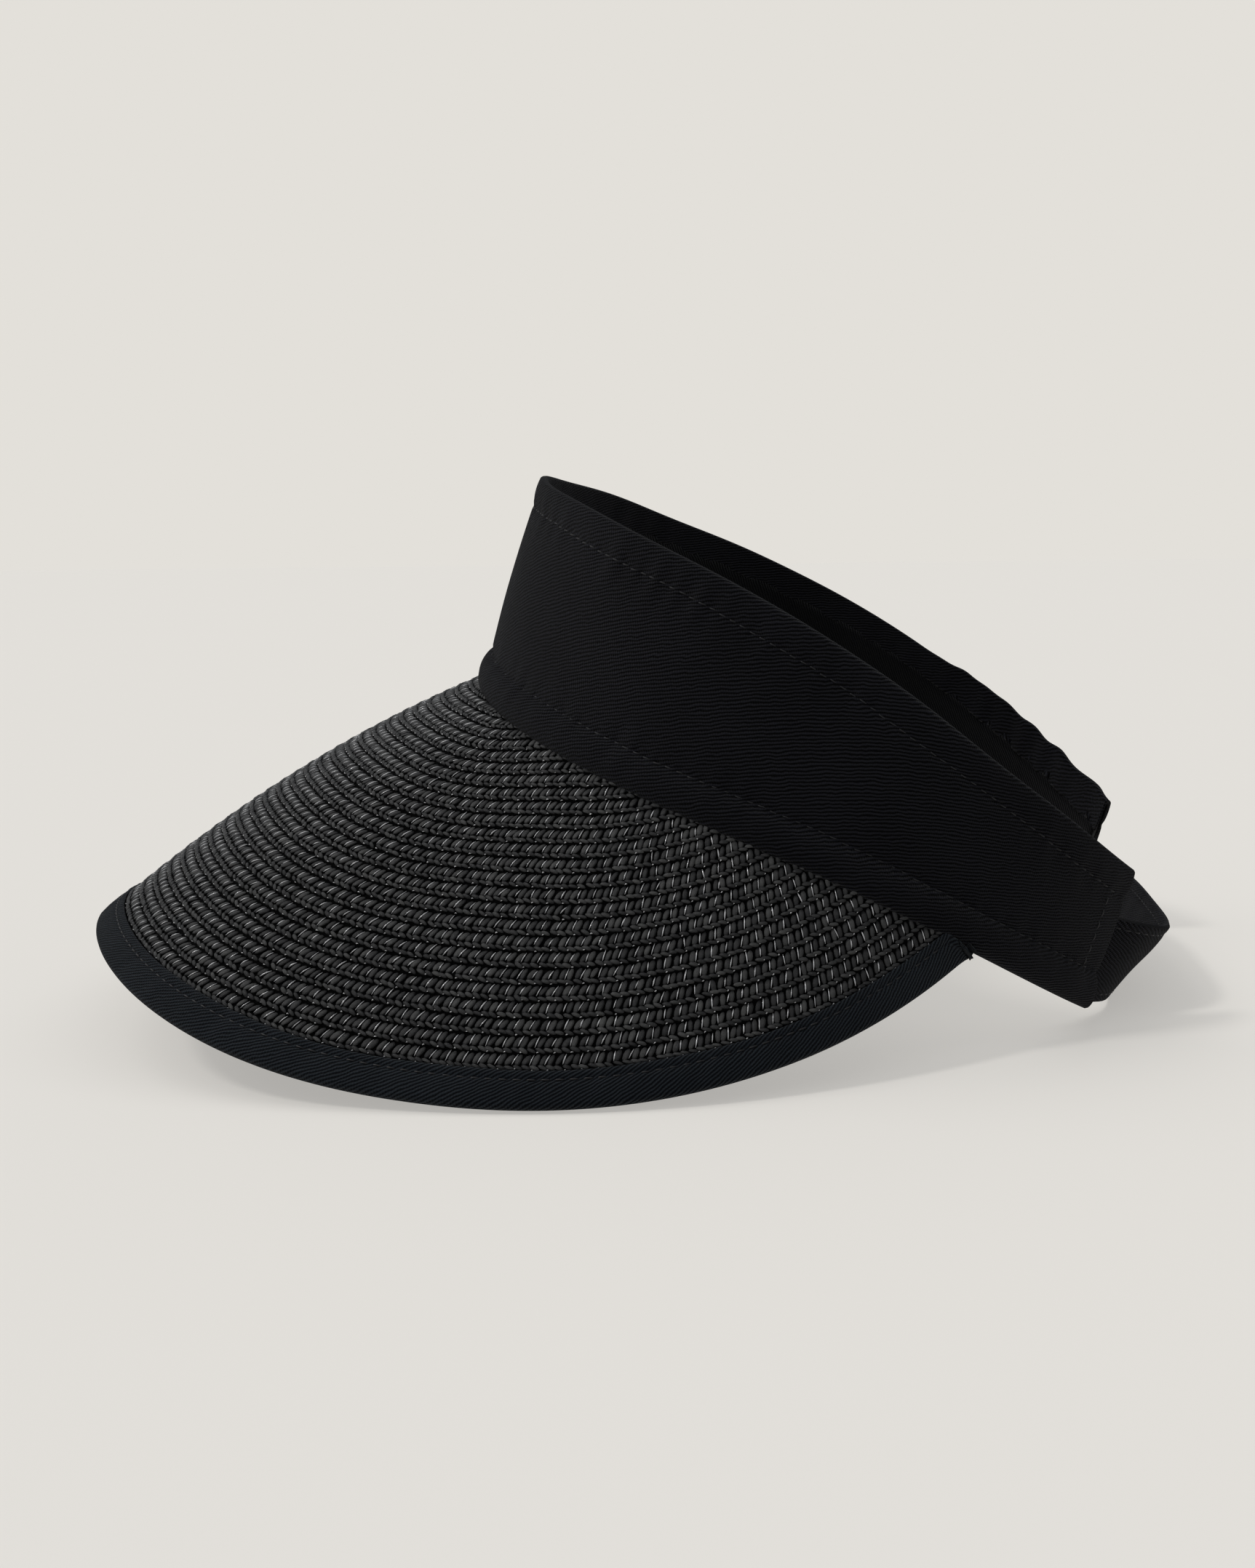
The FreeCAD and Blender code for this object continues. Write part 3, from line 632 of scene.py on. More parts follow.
def stage_and_camera():
    camera = bpy.data.cameras.new("camera")
    camera.sensor_fit = "VERTICAL"
    camera.sensor_height = SENSOR
    camera.lens = FOCAL_PIXELS / IMAGE_HEIGHT * SENSOR
    camera.shift_x = -PRINCIPAL_SHIFT[0] / IMAGE_HEIGHT
    camera.shift_y = PRINCIPAL_SHIFT[1] / IMAGE_HEIGHT
    camera.clip_start = 0.01
    camera_object = bpy.data.objects.new("camera", camera)
    camera_object.location = CAMERA_AT
    camera_object.rotation_euler = Euler([math.radians(a) for a in CAMERA_TURN])
    bpy.context.scene.collection.objects.link(camera_object)
    bpy.context.scene.camera = camera_object

    scene = bpy.context.scene
    scene.view_settings.view_transform = "Standard"
    world = bpy.data.worlds.new("studio")
    world.use_nodes = True
    tree = world.node_tree
    soft = tree.nodes["Background"]
    soft.inputs["Color"].default_value = (*AMBIENT_COLOUR, 1)
    soft.inputs["Strength"].default_value = AMBIENT
    seen = tree.nodes.new("ShaderNodeBackground")
    seen.inputs["Color"].default_value = (*BACKDROP, 1)
    mix = tree.nodes.new("ShaderNodeMixShader")
    path = tree.nodes.new("ShaderNodeLightPath")
    tree.links.new(path.outputs["Is Camera Ray"], mix.inputs[0])
    tree.links.new(soft.outputs[0], mix.inputs[1])
    tree.links.new(seen.outputs[0], mix.inputs[2])
    tree.links.new(mix.outputs[0], tree.nodes["World Output"].inputs["Surface"])
    scene.world = world
    for name, towards, strength, spread, colour in SUNS:
        light = bpy.data.lights.new(name, "SUN")
        light.energy = strength
        light.angle = math.radians(spread)
        light.color = colour
        lamp = bpy.data.objects.new(name, light)
        lamp.rotation_euler = Vector(towards).to_track_quat("Z", "Y").to_euler()
        scene.collection.objects.link(lamp)

    bpy.ops.mesh.primitive_circle_add(vertices=128, radius=FLOOR_RADIUS, fill_type="NGON")
    floor = bpy.context.object
    floor.name = "floor"
    floor.location = (0, 0, -FLOOR_DROP)
    n = Nodes("pale_floor")
    position = n.add("ShaderNodeTexCoord").outputs["Object"]
    grain = n.noise(position, 2.0)
    lighter = tuple(c * FLOOR_UNEVENNESS for c in FLOOR_COLOUR)
    colour = n.ramp(grain, [(0.3, FLOOR_COLOUR), (0.7, lighter)])
    material = n.finish(colour, None, None, Roughness=1.0, Specular_IOR_Level=0.0,
                        Emission_Strength=FLOOR_GLOW)
    n.shader.inputs["Emission Color"].default_value = (*FLOOR_GLOW_COLOUR, 1)
    floor.data.materials.append(material)


# ---- the band ----

def arc_length(phi):
    """Length along the band from the front, for a fine table of bearings."""
    plan = superellipse(phi, HALF_WIDTH, HALF_DEPTH, HEAD_SQUARENESS)
    return running(np.linalg.norm(np.diff(plan, axis=0), axis=1))


PHI_TABLE = np.radians(np.linspace(0, 175, 3001))
ARC_TABLE = arc_length(PHI_TABLE)


def phi_at(length):
    """Bearing at a length along the band from the front, either way round."""
    return np.sign(length) * np.interp(np.abs(length), ARC_TABLE, PHI_TABLE)


def length_at(phi):
    return np.sign(phi) * np.interp(np.abs(phi), PHI_TABLE, ARC_TABLE)


def bell(x, width):
    return np.exp(-(x / width) ** 2)


def stitch_pull(length):
    """How hard the thread pulls the cloth down: 1 under each stitch, 0 between two."""
    return 0.5 - 0.5 * np.cos(2 * math.pi * length / STITCH_PITCH)


# where the elastic in the right end starts to gather the cloth, and what that does
GATHER_PHI, GATHER_EASE, GATHER_RISE = 104.0, 4.0, 2.6
RUCK_PITCH, RUCK_DEPTH = 8.5, 0.38
GROOVE_WIDTH, UPPER_GROOVE, LOWER_GROOVE = 0.8, 0.42, 0.5
STRIP_PUFF, BODY_PUFF, PUCKER_REACH = 0.45, 0.35, 5.0
FOLD_RISE = 0.85


def gather(length, side):
    """How strongly the elastic in the right end puckers the cloth, 0 to 1."""
    if side > 0:
        return np.zeros_like(length)
    start = -length_at(math.radians(GATHER_PHI))
    return 1 / (1 + np.exp((length - start) / GATHER_EASE))


def face_relief(length, z, low, top, side):
    """How far the cloth's outer face stands off the plain wall."""
    under_top, over_low = top - z, z - low
    over_upper, over_lower = under_top - STITCH_INSET, over_low - ROLL_HEIGHT
    grooves = UPPER_GROOVE * bell(over_upper, GROOVE_WIDTH)
    grooves += LOWER_GROOVE * bell(over_lower, GROOVE_WIDTH)
    relief = -grooves * (0.55 + 0.45 * stitch_pull(length))
    top_strip = np.clip(under_top / STITCH_INSET, 0, 1)
    relief += STRIP_PUFF * np.sin(math.pi * top_strip) * (top_strip < 1)
    between = np.maximum(top - STITCH_INSET - low - ROLL_HEIGHT, 1)
    crown = np.sin(math.pi * np.clip(over_lower / between, 0, 1))
    roll = np.clip((over_low + ROLL_DROP) / (ROLL_HEIGHT + ROLL_DROP), 0, 1)
    bulge = np.sin(math.pi * roll ** 0.8) ** 0.62
    relief += BODY_PUFF * crown + np.where(over_low < ROLL_HEIGHT, ROLL_BULGE * bulge, 0)
    relief += waves(length, 11, 9.0, 0.13) * bell(over_upper, PUCKER_REACH)
    relief += waves(length, 12, 10.0, 0.12) * bell(over_lower, PUCKER_REACH)
    relief += waves(length, 13, 70.0, 0.28) * crown
    relief += waves(length + 0.8 * z, 14, 34.0, 0.10) * crown
    ruck = RUCK_DEPTH * np.sin(2 * math.pi * length / RUCK_PITCH) + waves(length, 19, 12.0, 0.25)
    ruck = ruck * gather(length, side)
    return relief + ruck * (0.35 + 0.65 * np.clip(over_low / 20.0, 0, 1))


def band_section(length, side):
    """Closed section of the folded outer cloth, and its UV, at lengths along the band."""
    phi = phi_at(length)[:, None]
    low, top = low_edge(phi), top_edge(phi)
    rise = GATHER_RISE + waves(length, 20, 14.0, 0.35)
    ripple = (waves(length, 15, 40.0, 0.15) + gather(length, side) * rise)[:, None]
    top = top + ripple
    face_height = top - low + ROLL_DROP - FOLD_RISE
    z = low - ROLL_DROP + 0.02 + face_height * np.linspace(0, 1, 64)
    relief = face_relief(length[:, None], z, low, top, side)
    # over the top fold
    turn = np.linspace(0, math.pi, 9)[1:-1]
    radius = STACK / 2
    z_fold = top - FOLD_RISE + FOLD_RISE * np.sin(turn)
    off_fold = -radius + (radius + relief[:, -1:] * (1 + np.cos(turn)) / 2) * np.cos(turn)
    # the inner leg of the fold, down to the hem's edge
    inner_drop = np.array([1.2, 2.8, 4.4, 6.0, 7.2, HEM - 0.2])
    z_leg = top - inner_drop * (1 + ripple / HEM)
    inside = -STACK + waves(length, 16, 12.0, 0.10)[:, None] + relief[:, -1:] * 0.3
    # the hidden inside and the turned lower hem: above or below an edge, and depth
    hidden = ((top, -HEM, -STACK + 0.15), (top, -HEM, -STACK + 0.5), (top, -1.6, -STACK + 0.5),
              (top, -1.6, -CLOTH), (low, 4.2, -CLOTH), (low, 4.2, -STACK + 0.5),
              (low, 4.2, -STACK), (low, 3.0, -STACK), (low, 1.2, -STACK),
              (low, -0.1, -STACK + 0.3), (low, -ROLL_DROP * 0.8, -STACK + 0.8),
              (low, -ROLL_DROP, -0.6))
    z_all = np.concatenate([z, z_fold, z_leg] + [edge + above for edge, above, _ in hidden], 1)
    off_hidden = [np.full_like(low, depth) for _, _, depth in hidden]
    off_all = np.concatenate([relief, off_fold, inside + 0 * z_leg] + off_hidden, 1)
    uv = cloth_uv(length, round_section(z_all, off_all), z_all.shape)
    return wall(phi, z_all, off_all), uv


def wing_length(side):
    return length_at(math.radians(LEFT_END_PHI if side > 0 else RIGHT_END_PHI))


def spaced(first, last, pitch):
    return np.linspace(first, last, int(round(abs(last - first) / pitch)) + 1)


def side_name(side):
    return "left" if side > 0 else "right"


EASE_BEFORE, EASE_AFTER, EASE_Z = 3.5, 5.0, 15.0


def hinge_blend(piece, side):
    """Bakes the piece's placement into its mesh; the wall points just before and after the flex
    line are worked out but not used, and nothing turns the cloth with its end of the band.
    """
    first = wall(math.radians(WING_PHI - EASE_BEFORE) * side, EASE_Z, 0.0)
    last = wall(math.radians(WING_PHI + EASE_AFTER) * side, EASE_Z, 0.0)
    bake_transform(piece)


END_SHORT = 0.6
# how much each last station draws in, and how far it is past END_SHORT
END_STATIONS = ((0.985, 0.25), (0.93, 0.45), (0.8, 0.55))


def band_cloth(side):
    """Outer cloth of one half of the band, whose last stations round its end over."""
    reach = wing_length(side) - END_SHORT
    points, uv = band_section(spaced(0, reach, 0.5) * side, side)
    points, uv = [points], [uv]
    for shrink, extra in END_STATIONS:
        length = np.array([(reach + extra) * side])
        more, more_uv = band_section(length, side)
        middle = wall(phi_at(length)[:, None], more[..., 2], -STACK / 2)
        points.append(middle + (more - middle) * shrink)
        uv.append(more_uv)
    piece = strip_piece("twill_band_" + side_name(side),
                        np.concatenate(points), np.concatenate(uv))
    dress(piece, BAND_CLOTH)
    hinge_blend(piece, side)
    wing = side_name(side) + "_wing"
    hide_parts("band_outer", "lower_hem_roll", wing + "_outer", wing + "_hem_roll")


def ply_strip(name, side, first, last, z_low, z_top, inner, outer, material, wave=0.0):
    """A flat inner ply of the band between two lengths from the front."""
    length = spaced(first, last, 2.0) * side
    phi = phi_at(length)[:, None]
    rows = np.linspace(0, 1, 13)
    low, top = z_low(phi), z_top(phi)
    z = low + (top - low) * rows
    sway = waves(length, 21, 30.0, wave)[:, None] * np.sin(math.pi * rows)
    z = np.concatenate([z, z[:, ::-1]], 1)
    off = np.concatenate([inner + sway, outer + sway[:, ::-1]], 1)
    piece = strip_piece(name, wall(phi, z, off), cloth_uv(length, z, z.shape))
    return dress(piece, material)


LINING_LOW, LINING_LAP, LINING_SHORT = 2.0, 1.0, 1.0
FELT_LOW, FELT_TOP, FELT_SHORT = 4.6, 2.2, 2.0


def inner_plies(side):
    """Lining and stiffener; the right end has no stiffener, so that it can gather."""
    reach = wing_length(side)
    lining = ply_strip("lining_" + side_name(side), side, 0, reach - LINING_SHORT,
                       lambda phi: low_edge(phi) + LINING_LOW,
                       lambda phi: top_edge(phi) - HEM + LINING_LAP,
                       -STACK + 0.06, -STACK + 0.4, LINING_CLOTH, 0.03)
    hinge_blend(lining, side)
    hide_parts("band_lining", side_name(side) + "_wing_lining")
    end = reach if side > 0 else length_at(math.radians(WING_PHI))
    felt = ply_strip("interlining_" + side_name(side), side, 0, end - FELT_SHORT,
                     lambda phi: low_edge(phi) + FELT_LOW, lambda phi: top_edge(phi) - FELT_TOP,
                     -CLOTH - 0.7, -CLOTH - 0.12, STIFFENER_FELT)
    if side > 0:
        hinge_blend(felt, side)
        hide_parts("band_interlining", "left_wing_interlining")
    else:
        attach(felt, "crown")
        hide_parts("band_interlining")


def stitch_row(name, length, height_of, side):
    """Separate lockstitches along the band, each a little off line."""
    phi = phi_at(length)
    z = height_of(phi, length) + RNG.normal(0, 0.07, len(length))
    off = face_relief(length, z, low_edge(phi), top_edge(phi), side) + 0.16
    centre = wall(phi, z, off)
    next_phi = phi_at(length + 0.5)
    along = unit(wall(next_phi, height_of(next_phi, length), off)
                 - wall(phi, height_of(phi, length), off))
    up = outward_level(phi)
    slant = RNG.normal(0.10, 0.04, len(length))[:, None]
    along = unit(along + unit(np.cross(up, along)) * slant)
    return stitches(name, centre, along, up)


def band_stitches(side):
    """Topstitching along the top, above the roll and down the end of one half."""
    name = side_name(side)
    reach = wing_length(side)
    length = (np.arange(int((reach - 2.0) / STITCH_PITCH)) + 0.5) * STITCH_PITCH * side
    rows = {
        "upper": lambda phi, s: top_edge(phi) - STITCH_INSET + waves(s, 17, 60.0, 0.2),
        "lower": lambda phi, s: low_edge(phi) + ROLL_HEIGHT + waves(s, 18, 60.0, 0.2),
    }
    for row, height_of in rows.items():
        piece = stitch_row("topstitch_%s_%s" % (row, name), length, height_of, side)
        hinge_blend(piece, side)
        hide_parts("%s_topstitch" % row, "%s_wing_%s_topstitch" % (name, row))
    end = (reach - STITCH_INSET) * side
    end_phi = float(phi_at(end))
    z = np.arange(low_edge(end_phi) + ROLL_HEIGHT + 1.5,
                  top_edge(end_phi) - STITCH_INSET - 0.5, STITCH_PITCH)
    phi = np.full(len(z), end_phi)
    off = face_relief(np.full(len(z), end), z, low_edge(phi), top_edge(phi), side) + 0.12
    centre = wall(phi, z, off)
    piece = stitches("topstitch_end_" + name, centre, unit(wall(phi, z + 1, off) - centre),
                     outward_level(phi))
    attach(piece, name + "_wing")
    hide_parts(name + "_wing_end_topstitch")


SWEATBAND_PHI, SWEATBAND_LOW, SWEATBAND_HEIGHT = 96.0, 1.8, 25.0


def sweatband():
    """Padded band inside the front, stitched near both edges and lower at its ends."""
    edge = math.radians(SWEATBAND_PHI)
    reach = length_at(edge) - 0.5
    length = spaced(-reach, reach, 0.8)
    phi = phi_at(length)[:, None]
    fade = np.clip(1 - (phi / edge) ** 8, 0, 1)
    low = low_edge(phi) + SWEATBAND_LOW
    around = np.linspace(0, 1, 27)
    z_in = low + (SWEATBAND_HEIGHT * (0.6 + 0.4 * fade) - 0.4) * around
    puff = np.sin(math.pi * around) ** 0.35
    seam = bell((around - 0.1) * 25, 0.9) + bell((around - 0.9) * 25, 0.9)
    dimple = 1 - stitch_pull(length)[:, None]
    thickness = 0.95 * puff - 0.45 * seam * (0.5 + 0.5 * dimple)
    thickness += waves(length, 31, 11.0, 0.05)[:, None] * puff
    taper = np.clip(np.minimum(length - length[0], length[-1] - length) / 3.0, 0.15, 1)[:, None]
    off_in = -STACK - 0.06 - thickness * taper
    z = np.concatenate([z_in, z_in[:, [26, 13, 0]]], 1)
    off = np.concatenate([off_in, np.full((len(length), 3), -STACK - 0.03)], 1)
    piece = strip_piece("sweatband_cloth", wall(phi, z, off), cloth_uv(length, z, z.shape))
    dress(piece, SWEAT_CLOTH)
    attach(piece, "crown")
    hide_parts("sweatband")


# ---- the brim ----

REPEAT = 3.45
STRAND_RING = 8
STRAND_STATIONS = np.array([-1.0, -0.7, -0.15, 0.45, 0.85, 1.0])
STRAND_WIDTHS = np.array([0.25, 0.78, 1.0, 0.95, 0.6, 0.22])
STRAND_ARCH, STRAND_THICKNESS = 0.16, 0.62
SEAM_TUCK = 2.4     # how far the braid and the binding run in under the band's hem
# place along in repeats, place across in rows, slant, length, width, lift, dive of the far end:
# the slanting pair that fills most of a row, then the short pair along its outer edge
PLAIT = ((0.00, 0.63, 63.0, 2.85, 1.24, 0.12, -0.12),
         (0.47, 0.63, 61.0, 2.85, 1.24, 0.08, -0.12),
         (0.12, 0.17, -20.0, 2.15, 0.92, 0.30, 0.0),
         (0.62, 0.17, -21.0, 2.15, 0.92, 0.30, 0.0))
# place along, place across, slant, length and lift: a bright line between pairs, a dot below
FILAMENTS = ((-0.265, 0.64, 66.0, 2.6, 0.42), (0.0, 0.06, 20.0, 0.6, 0.45))
FILAMENT_RADIUS = 0.13
CORE_LINES, CORE_HALF = ((-0.04, 0.0), (0.5, -0.12), (1.0, -0.14)), 0.07


def strands(centre, axes, length, width, thickness, dive):
    """Leaf-shaped flattened strands: points, faces, end polygons and UV of all of them."""
    turn = (np.arange(STRAND_RING) + 0.5) * 2 * math.pi / STRAND_RING
    flat = np.sign(np.cos(turn)) * np.abs(np.cos(turn)) ** 0.75
    t, taper = STRAND_STATIONS[:, None], STRAND_WIDTHS[:, None]
    length, width, thickness, dive = (a[:, None, None] for a in (length, width, thickness, dive))
    x = np.broadcast_to(t * length / 2, (len(centre), len(t), STRAND_RING))
    y = taper * flat * width / 2
    arch = (1 - t ** 2) * STRAND_ARCH + t * dive
    z = taper ** 0.7 * np.sin(turn) * thickness / 2 + arch
    points, quads, caps = bundle(centre, axes, x, y, z)
    uv = np.stack([x + centre[:, 0][:, None, None], y + centre[:, 1][:, None, None]], -1)
    return points, quads, caps, uv.reshape(-1, 2)


def row_line(distance):
    """Length along the line of the brim at one distance, at each of BRIM_ANGLES."""
    points = brim_point(BRIM_ANGLES, distance)
    return running(np.linalg.norm(np.diff(points, axis=0), axis=1))


def row_start(number):
    """Distance in from the brim's edge where a row begins."""
    return BINDING_WIDTH + (number - 2) * ROW_PITCH


def row_places(number, across, length, margin):
    """Local axes where a strand sits, leaving out what the band's seam cuts off."""
    start = row_start(number)
    line = row_line(start + 0.5 * ROW_PITCH)
    angle = np.interp(length, line, BRIM_ANGLES)
    distance = start + across * ROW_PITCH
    keep = brim_width(angle) > distance + margin
    keep &= (length > line[0] + 0.5) & (length < line[-1] - 0.5)
    point, along, inward, normal = brim_axes(angle[keep], distance[keep])
    return point, along, inward, normal, keep


def slanted(along, inward, normal, degrees):
    """The direction between along and inward at an angle, and the one across it."""
    angle = np.radians(degrees)[:, None]
    axis = along * np.cos(angle) + inward * np.sin(angle)
    return axis, np.cross(normal, axis)


def braid_row(number):
    """Strands of one row: their points, faces, end polygons, UV, tints and repeats."""
    line = row_line(row_start(number) + 0.5 * ROW_PITCH)
    draw = np.random.default_rng(100 + number)
    count = int(line[-1] / REPEAT)
    base = (np.arange(count) + draw.uniform(0, 1)) * REPEAT
    base = base + draw.normal(0, 0.10, count)
    groups = []
    for offset, across, slant, length, width, lift, dive in PLAIT:
        s = base + offset * REPEAT + draw.normal(0, 0.09, count)
        across = across + draw.normal(0, 0.018, count)
        point, along, inward, normal, keep = row_places(number, across, s, -SEAM_TUCK)
        n = int(keep.sum())
        axis, side = slanted(along, inward, normal, slant + draw.normal(0, 5.0, n))
        up = unit(normal + side * draw.normal(0, 0.10, (n, 1)))
        centre = point + normal * (lift + draw.normal(0, 0.03, n))[:, None]
        groups.append((centre, axis, unit(np.cross(up, axis)), up,
                       length * draw.uniform(0.93, 1.07, n), width * draw.uniform(0.86, 1.10, n),
                       STRAND_THICKNESS * draw.uniform(0.85, 1.15, n),
                       dive + draw.normal(0, 0.04, n)))
    centre, axis, side, up, *sizes = map(np.concatenate, zip(*groups))
    points, quads, caps, uv = strands(centre, (axis, side, up), *sizes)
    tint = np.repeat(draw.beta(2.2, 2.2, len(centre)), len(STRAND_STATIONS) * STRAND_RING)
    return points, quads, caps, uv, tint, base


def core_strip(number):
    """Thin strip that closes the gaps between one row's strands; its near-black colour is painted
    shade in those gaps.
    """
    start = row_start(number)
    line = row_line(start + 0.5 * ROW_PITCH)
    angles = np.interp(np.arange(1.0, line[-1] - 1.0, 2.0), line, BRIM_ANGLES)
    angles = angles[brim_width(angles) + SEAM_TUCK > start + 0.6]
    inner = np.minimum(start + ROW_PITCH * 1.12, brim_width(angles) + SEAM_TUCK + 0.4)
    upper, lower = [], []
    for share, lift in CORE_LINES:
        point, _, _, normal = brim_axes(angles, start + (inner - start) * share)
        upper.append(point + normal * (lift + CORE_HALF))
        lower.insert(0, point + normal * (lift - CORE_HALF))
    return np.stack(upper + lower, 1)


def brim_rows():
    for number in range(2, ROW_COUNT + 1):
        points, quads, caps, uv, tint, base = braid_row(number)
        core = core_strip(number)
        size = core.shape[:2]
        core = core.reshape(-1, 3)
        core_quads = grid_quads(*size, True, len(points))
        ids = np.repeat([0, 1, 0, 1], [len(quads), len(core_quads), len(caps), 2])
        piece = new_mesh("braid_row_%02d" % number, place(np.concatenate([points, core])),
                         np.concatenate([quads, core_quads]),
                         [caps, end_polygons(*size) + len(points)],
                         np.concatenate([uv, core[:, :2]]),
                         np.concatenate([tint, np.zeros(len(core))]), ids)
        # the core strips take the second material, near-black as painted shade in the gaps
        dress(piece, STRAW)
        piece.data.materials.append(STRAW_CORE_PAINTED_SHADE)
        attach(piece, "crown")
        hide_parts("brim_row_%02d" % number)
        filament_row(number, base)


def filament_row(number, base):
    """Clear thread that holds the plait."""
    draw = np.random.default_rng(300 + number)
    parts = []
    for offset, across, slant, length, lift in FILAMENTS:
        across = across + draw.normal(0, 0.02, len(base))
        s = base + offset * REPEAT
        point, along, inward, normal, keep = row_places(number, across, s, 0.6)
        n = int(keep.sum())
        axis, side = slanted(along, inward, normal, slant + draw.normal(0, 6.0, n))
        centre = point + normal * (lift + draw.normal(0, 0.05, n))[:, None]
        parts.append((centre, axis, unit(side), normal, length * draw.uniform(0.75, 1.1, n),
                      FILAMENT_RADIUS * draw.uniform(0.75, 1.25, n)))
    piece = capsules("filament_row_%02d" % number, *map(np.concatenate, zip(*parts)), 4, 5)
    dress(piece, FILAMENT_PAINTED_GLINT)
    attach(piece, "crown")


BINDING_NOSE, BINDING_STITCH_IN = 0.9, 2.2


def binding():
    """Bias tape folded round the brim's edge."""
    line = row_line(0.0)
    length = spaced(line[0] + 0.4, line[-1] - 0.4, 0.6)
    angle = np.interp(length, line, BRIM_ANGLES)
    leg = BINDING_WIDTH + waves(length, 41, 50.0, 0.12)
    leg = np.minimum(leg, brim_width(angle) + SEAM_TUCK)[:, None]
    inside = ROW_THICKNESS / 2 + PLY_GAP
    outside = inside + BINDING_CLOTH
    d_up = BINDING_NOSE + (leg - BINDING_NOSE) * (1 - np.linspace(0, 1, 25))
    to_stitch = leg - BINDING_STITCH_IN
    pull = stitch_pull(length)[:, None]
    groove = bell(to_stitch - d_up, 0.55) * (0.5 + 0.5 * pull) * 0.30
    roll_edge = 0.35 * np.clip((leg - d_up) / 0.8, 0, 1) ** 0.5 - 0.35
    puff = 0.22 * np.sin(math.pi * np.clip(d_up / np.maximum(to_stitch, 1), 0, 1))
    ripple = waves(length, 42, 8.0, 0.07)[:, None] + waves(length, 43, 45.0, 0.08)[:, None]
    height = outside - groove + roll_edge + puff + ripple * np.clip(d_up / 3, 0, 1)
    turn = np.linspace(0, math.pi, 9)[1:-1]
    d_nose = BINDING_NOSE - BINDING_NOSE * np.sin(turn) + 0 * leg
    h_nose = outside * np.cos(turn) + 0 * leg
    d_in = np.concatenate([leg, 0 * leg + 1.6, 0 * leg + 1.6, leg], 1)
    h_in = np.array([-inside, -inside, inside, inside]) + 0 * d_in
    d_all = np.concatenate([d_up, d_nose, d_up[:, ::-1], d_in], 1)
    h_all = np.concatenate([height, h_nose, -height[:, ::-1], h_in], 1)
    point, _, _, normal = brim_axes(angle[:, None] + 0 * d_all, np.maximum(d_all, 0))
    piece = strip_piece("binding_tape", point + normal * h_all[..., None],
                        cloth_uv(length, round_section(d_all, h_all), d_all.shape))
    dress(piece, HEM_CLOTH)
    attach(piece, "crown")
    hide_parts("brim_binding")
    angle = np.interp(np.arange(line[0] + 4.0, line[-1] - 4.0, STITCH_PITCH), line, BRIM_ANGLES)
    distance = np.minimum(BINDING_WIDTH, brim_width(angle)) - BINDING_STITCH_IN
    keep = distance > 2.0
    point, along, _, normal = brim_axes(angle[keep], distance[keep])
    for name, up in (("over", normal), ("under", -normal)):
        thread = stitches("binding_stitch_" + name, point + up * (outside - 0.12), along, up)
        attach(thread, "crown")
        if name == "over":
            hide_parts("binding_topstitch")


# ---- the strap ----

TUCK_DEPTH = STACK + PLY_GAP + TAPE + FASTENED_GAP + TAPE + 2 * PLY_GAP + STRAP_PLY
RIGHT_DEPTH = STACK / 2
STRAP_STITCH_INSET, STRAP_TURN = 2.6, 7.0


def strap_curve(bulge, height_of):
    """One edge of the strap as a function of the part of its length, and that length."""
    start = float(phi_at(-(wing_length(-1) + STRAP_START_GAP)))
    left_end = math.radians(LEFT_END_PHI)
    right = wall(start, height_of(start), -RIGHT_DEPTH)
    left = wall(left_end, height_of(left_end), -TUCK_DEPTH)
    points = [right]
    for part in (0.08, 0.2, 0.35, 0.5, 0.65, 0.8, 0.92):
        across = 2 * part - 1
        swell = bulge * (1 - across ** STRAP_BULGE_POWER) * (1 + STRAP_BULGE_SKEW * across)
        points.append(right + (left - right) * part + np.array([0, swell, 0]))
    for phi in (left_end, math.radians(142), math.radians(135), math.radians(STRAP_TIP_PHI)):
        points.append(wall(phi, height_of(phi), -TUCK_DEPTH))
    points = np.array(points)
    knots = running(np.linalg.norm(np.diff(points, axis=0), axis=1))
    return lambda part: np.stack([smooth_through(knots, points[:, i], np.asarray(part) * knots[-1])
                                  for i in range(3)], -1), knots[-1]


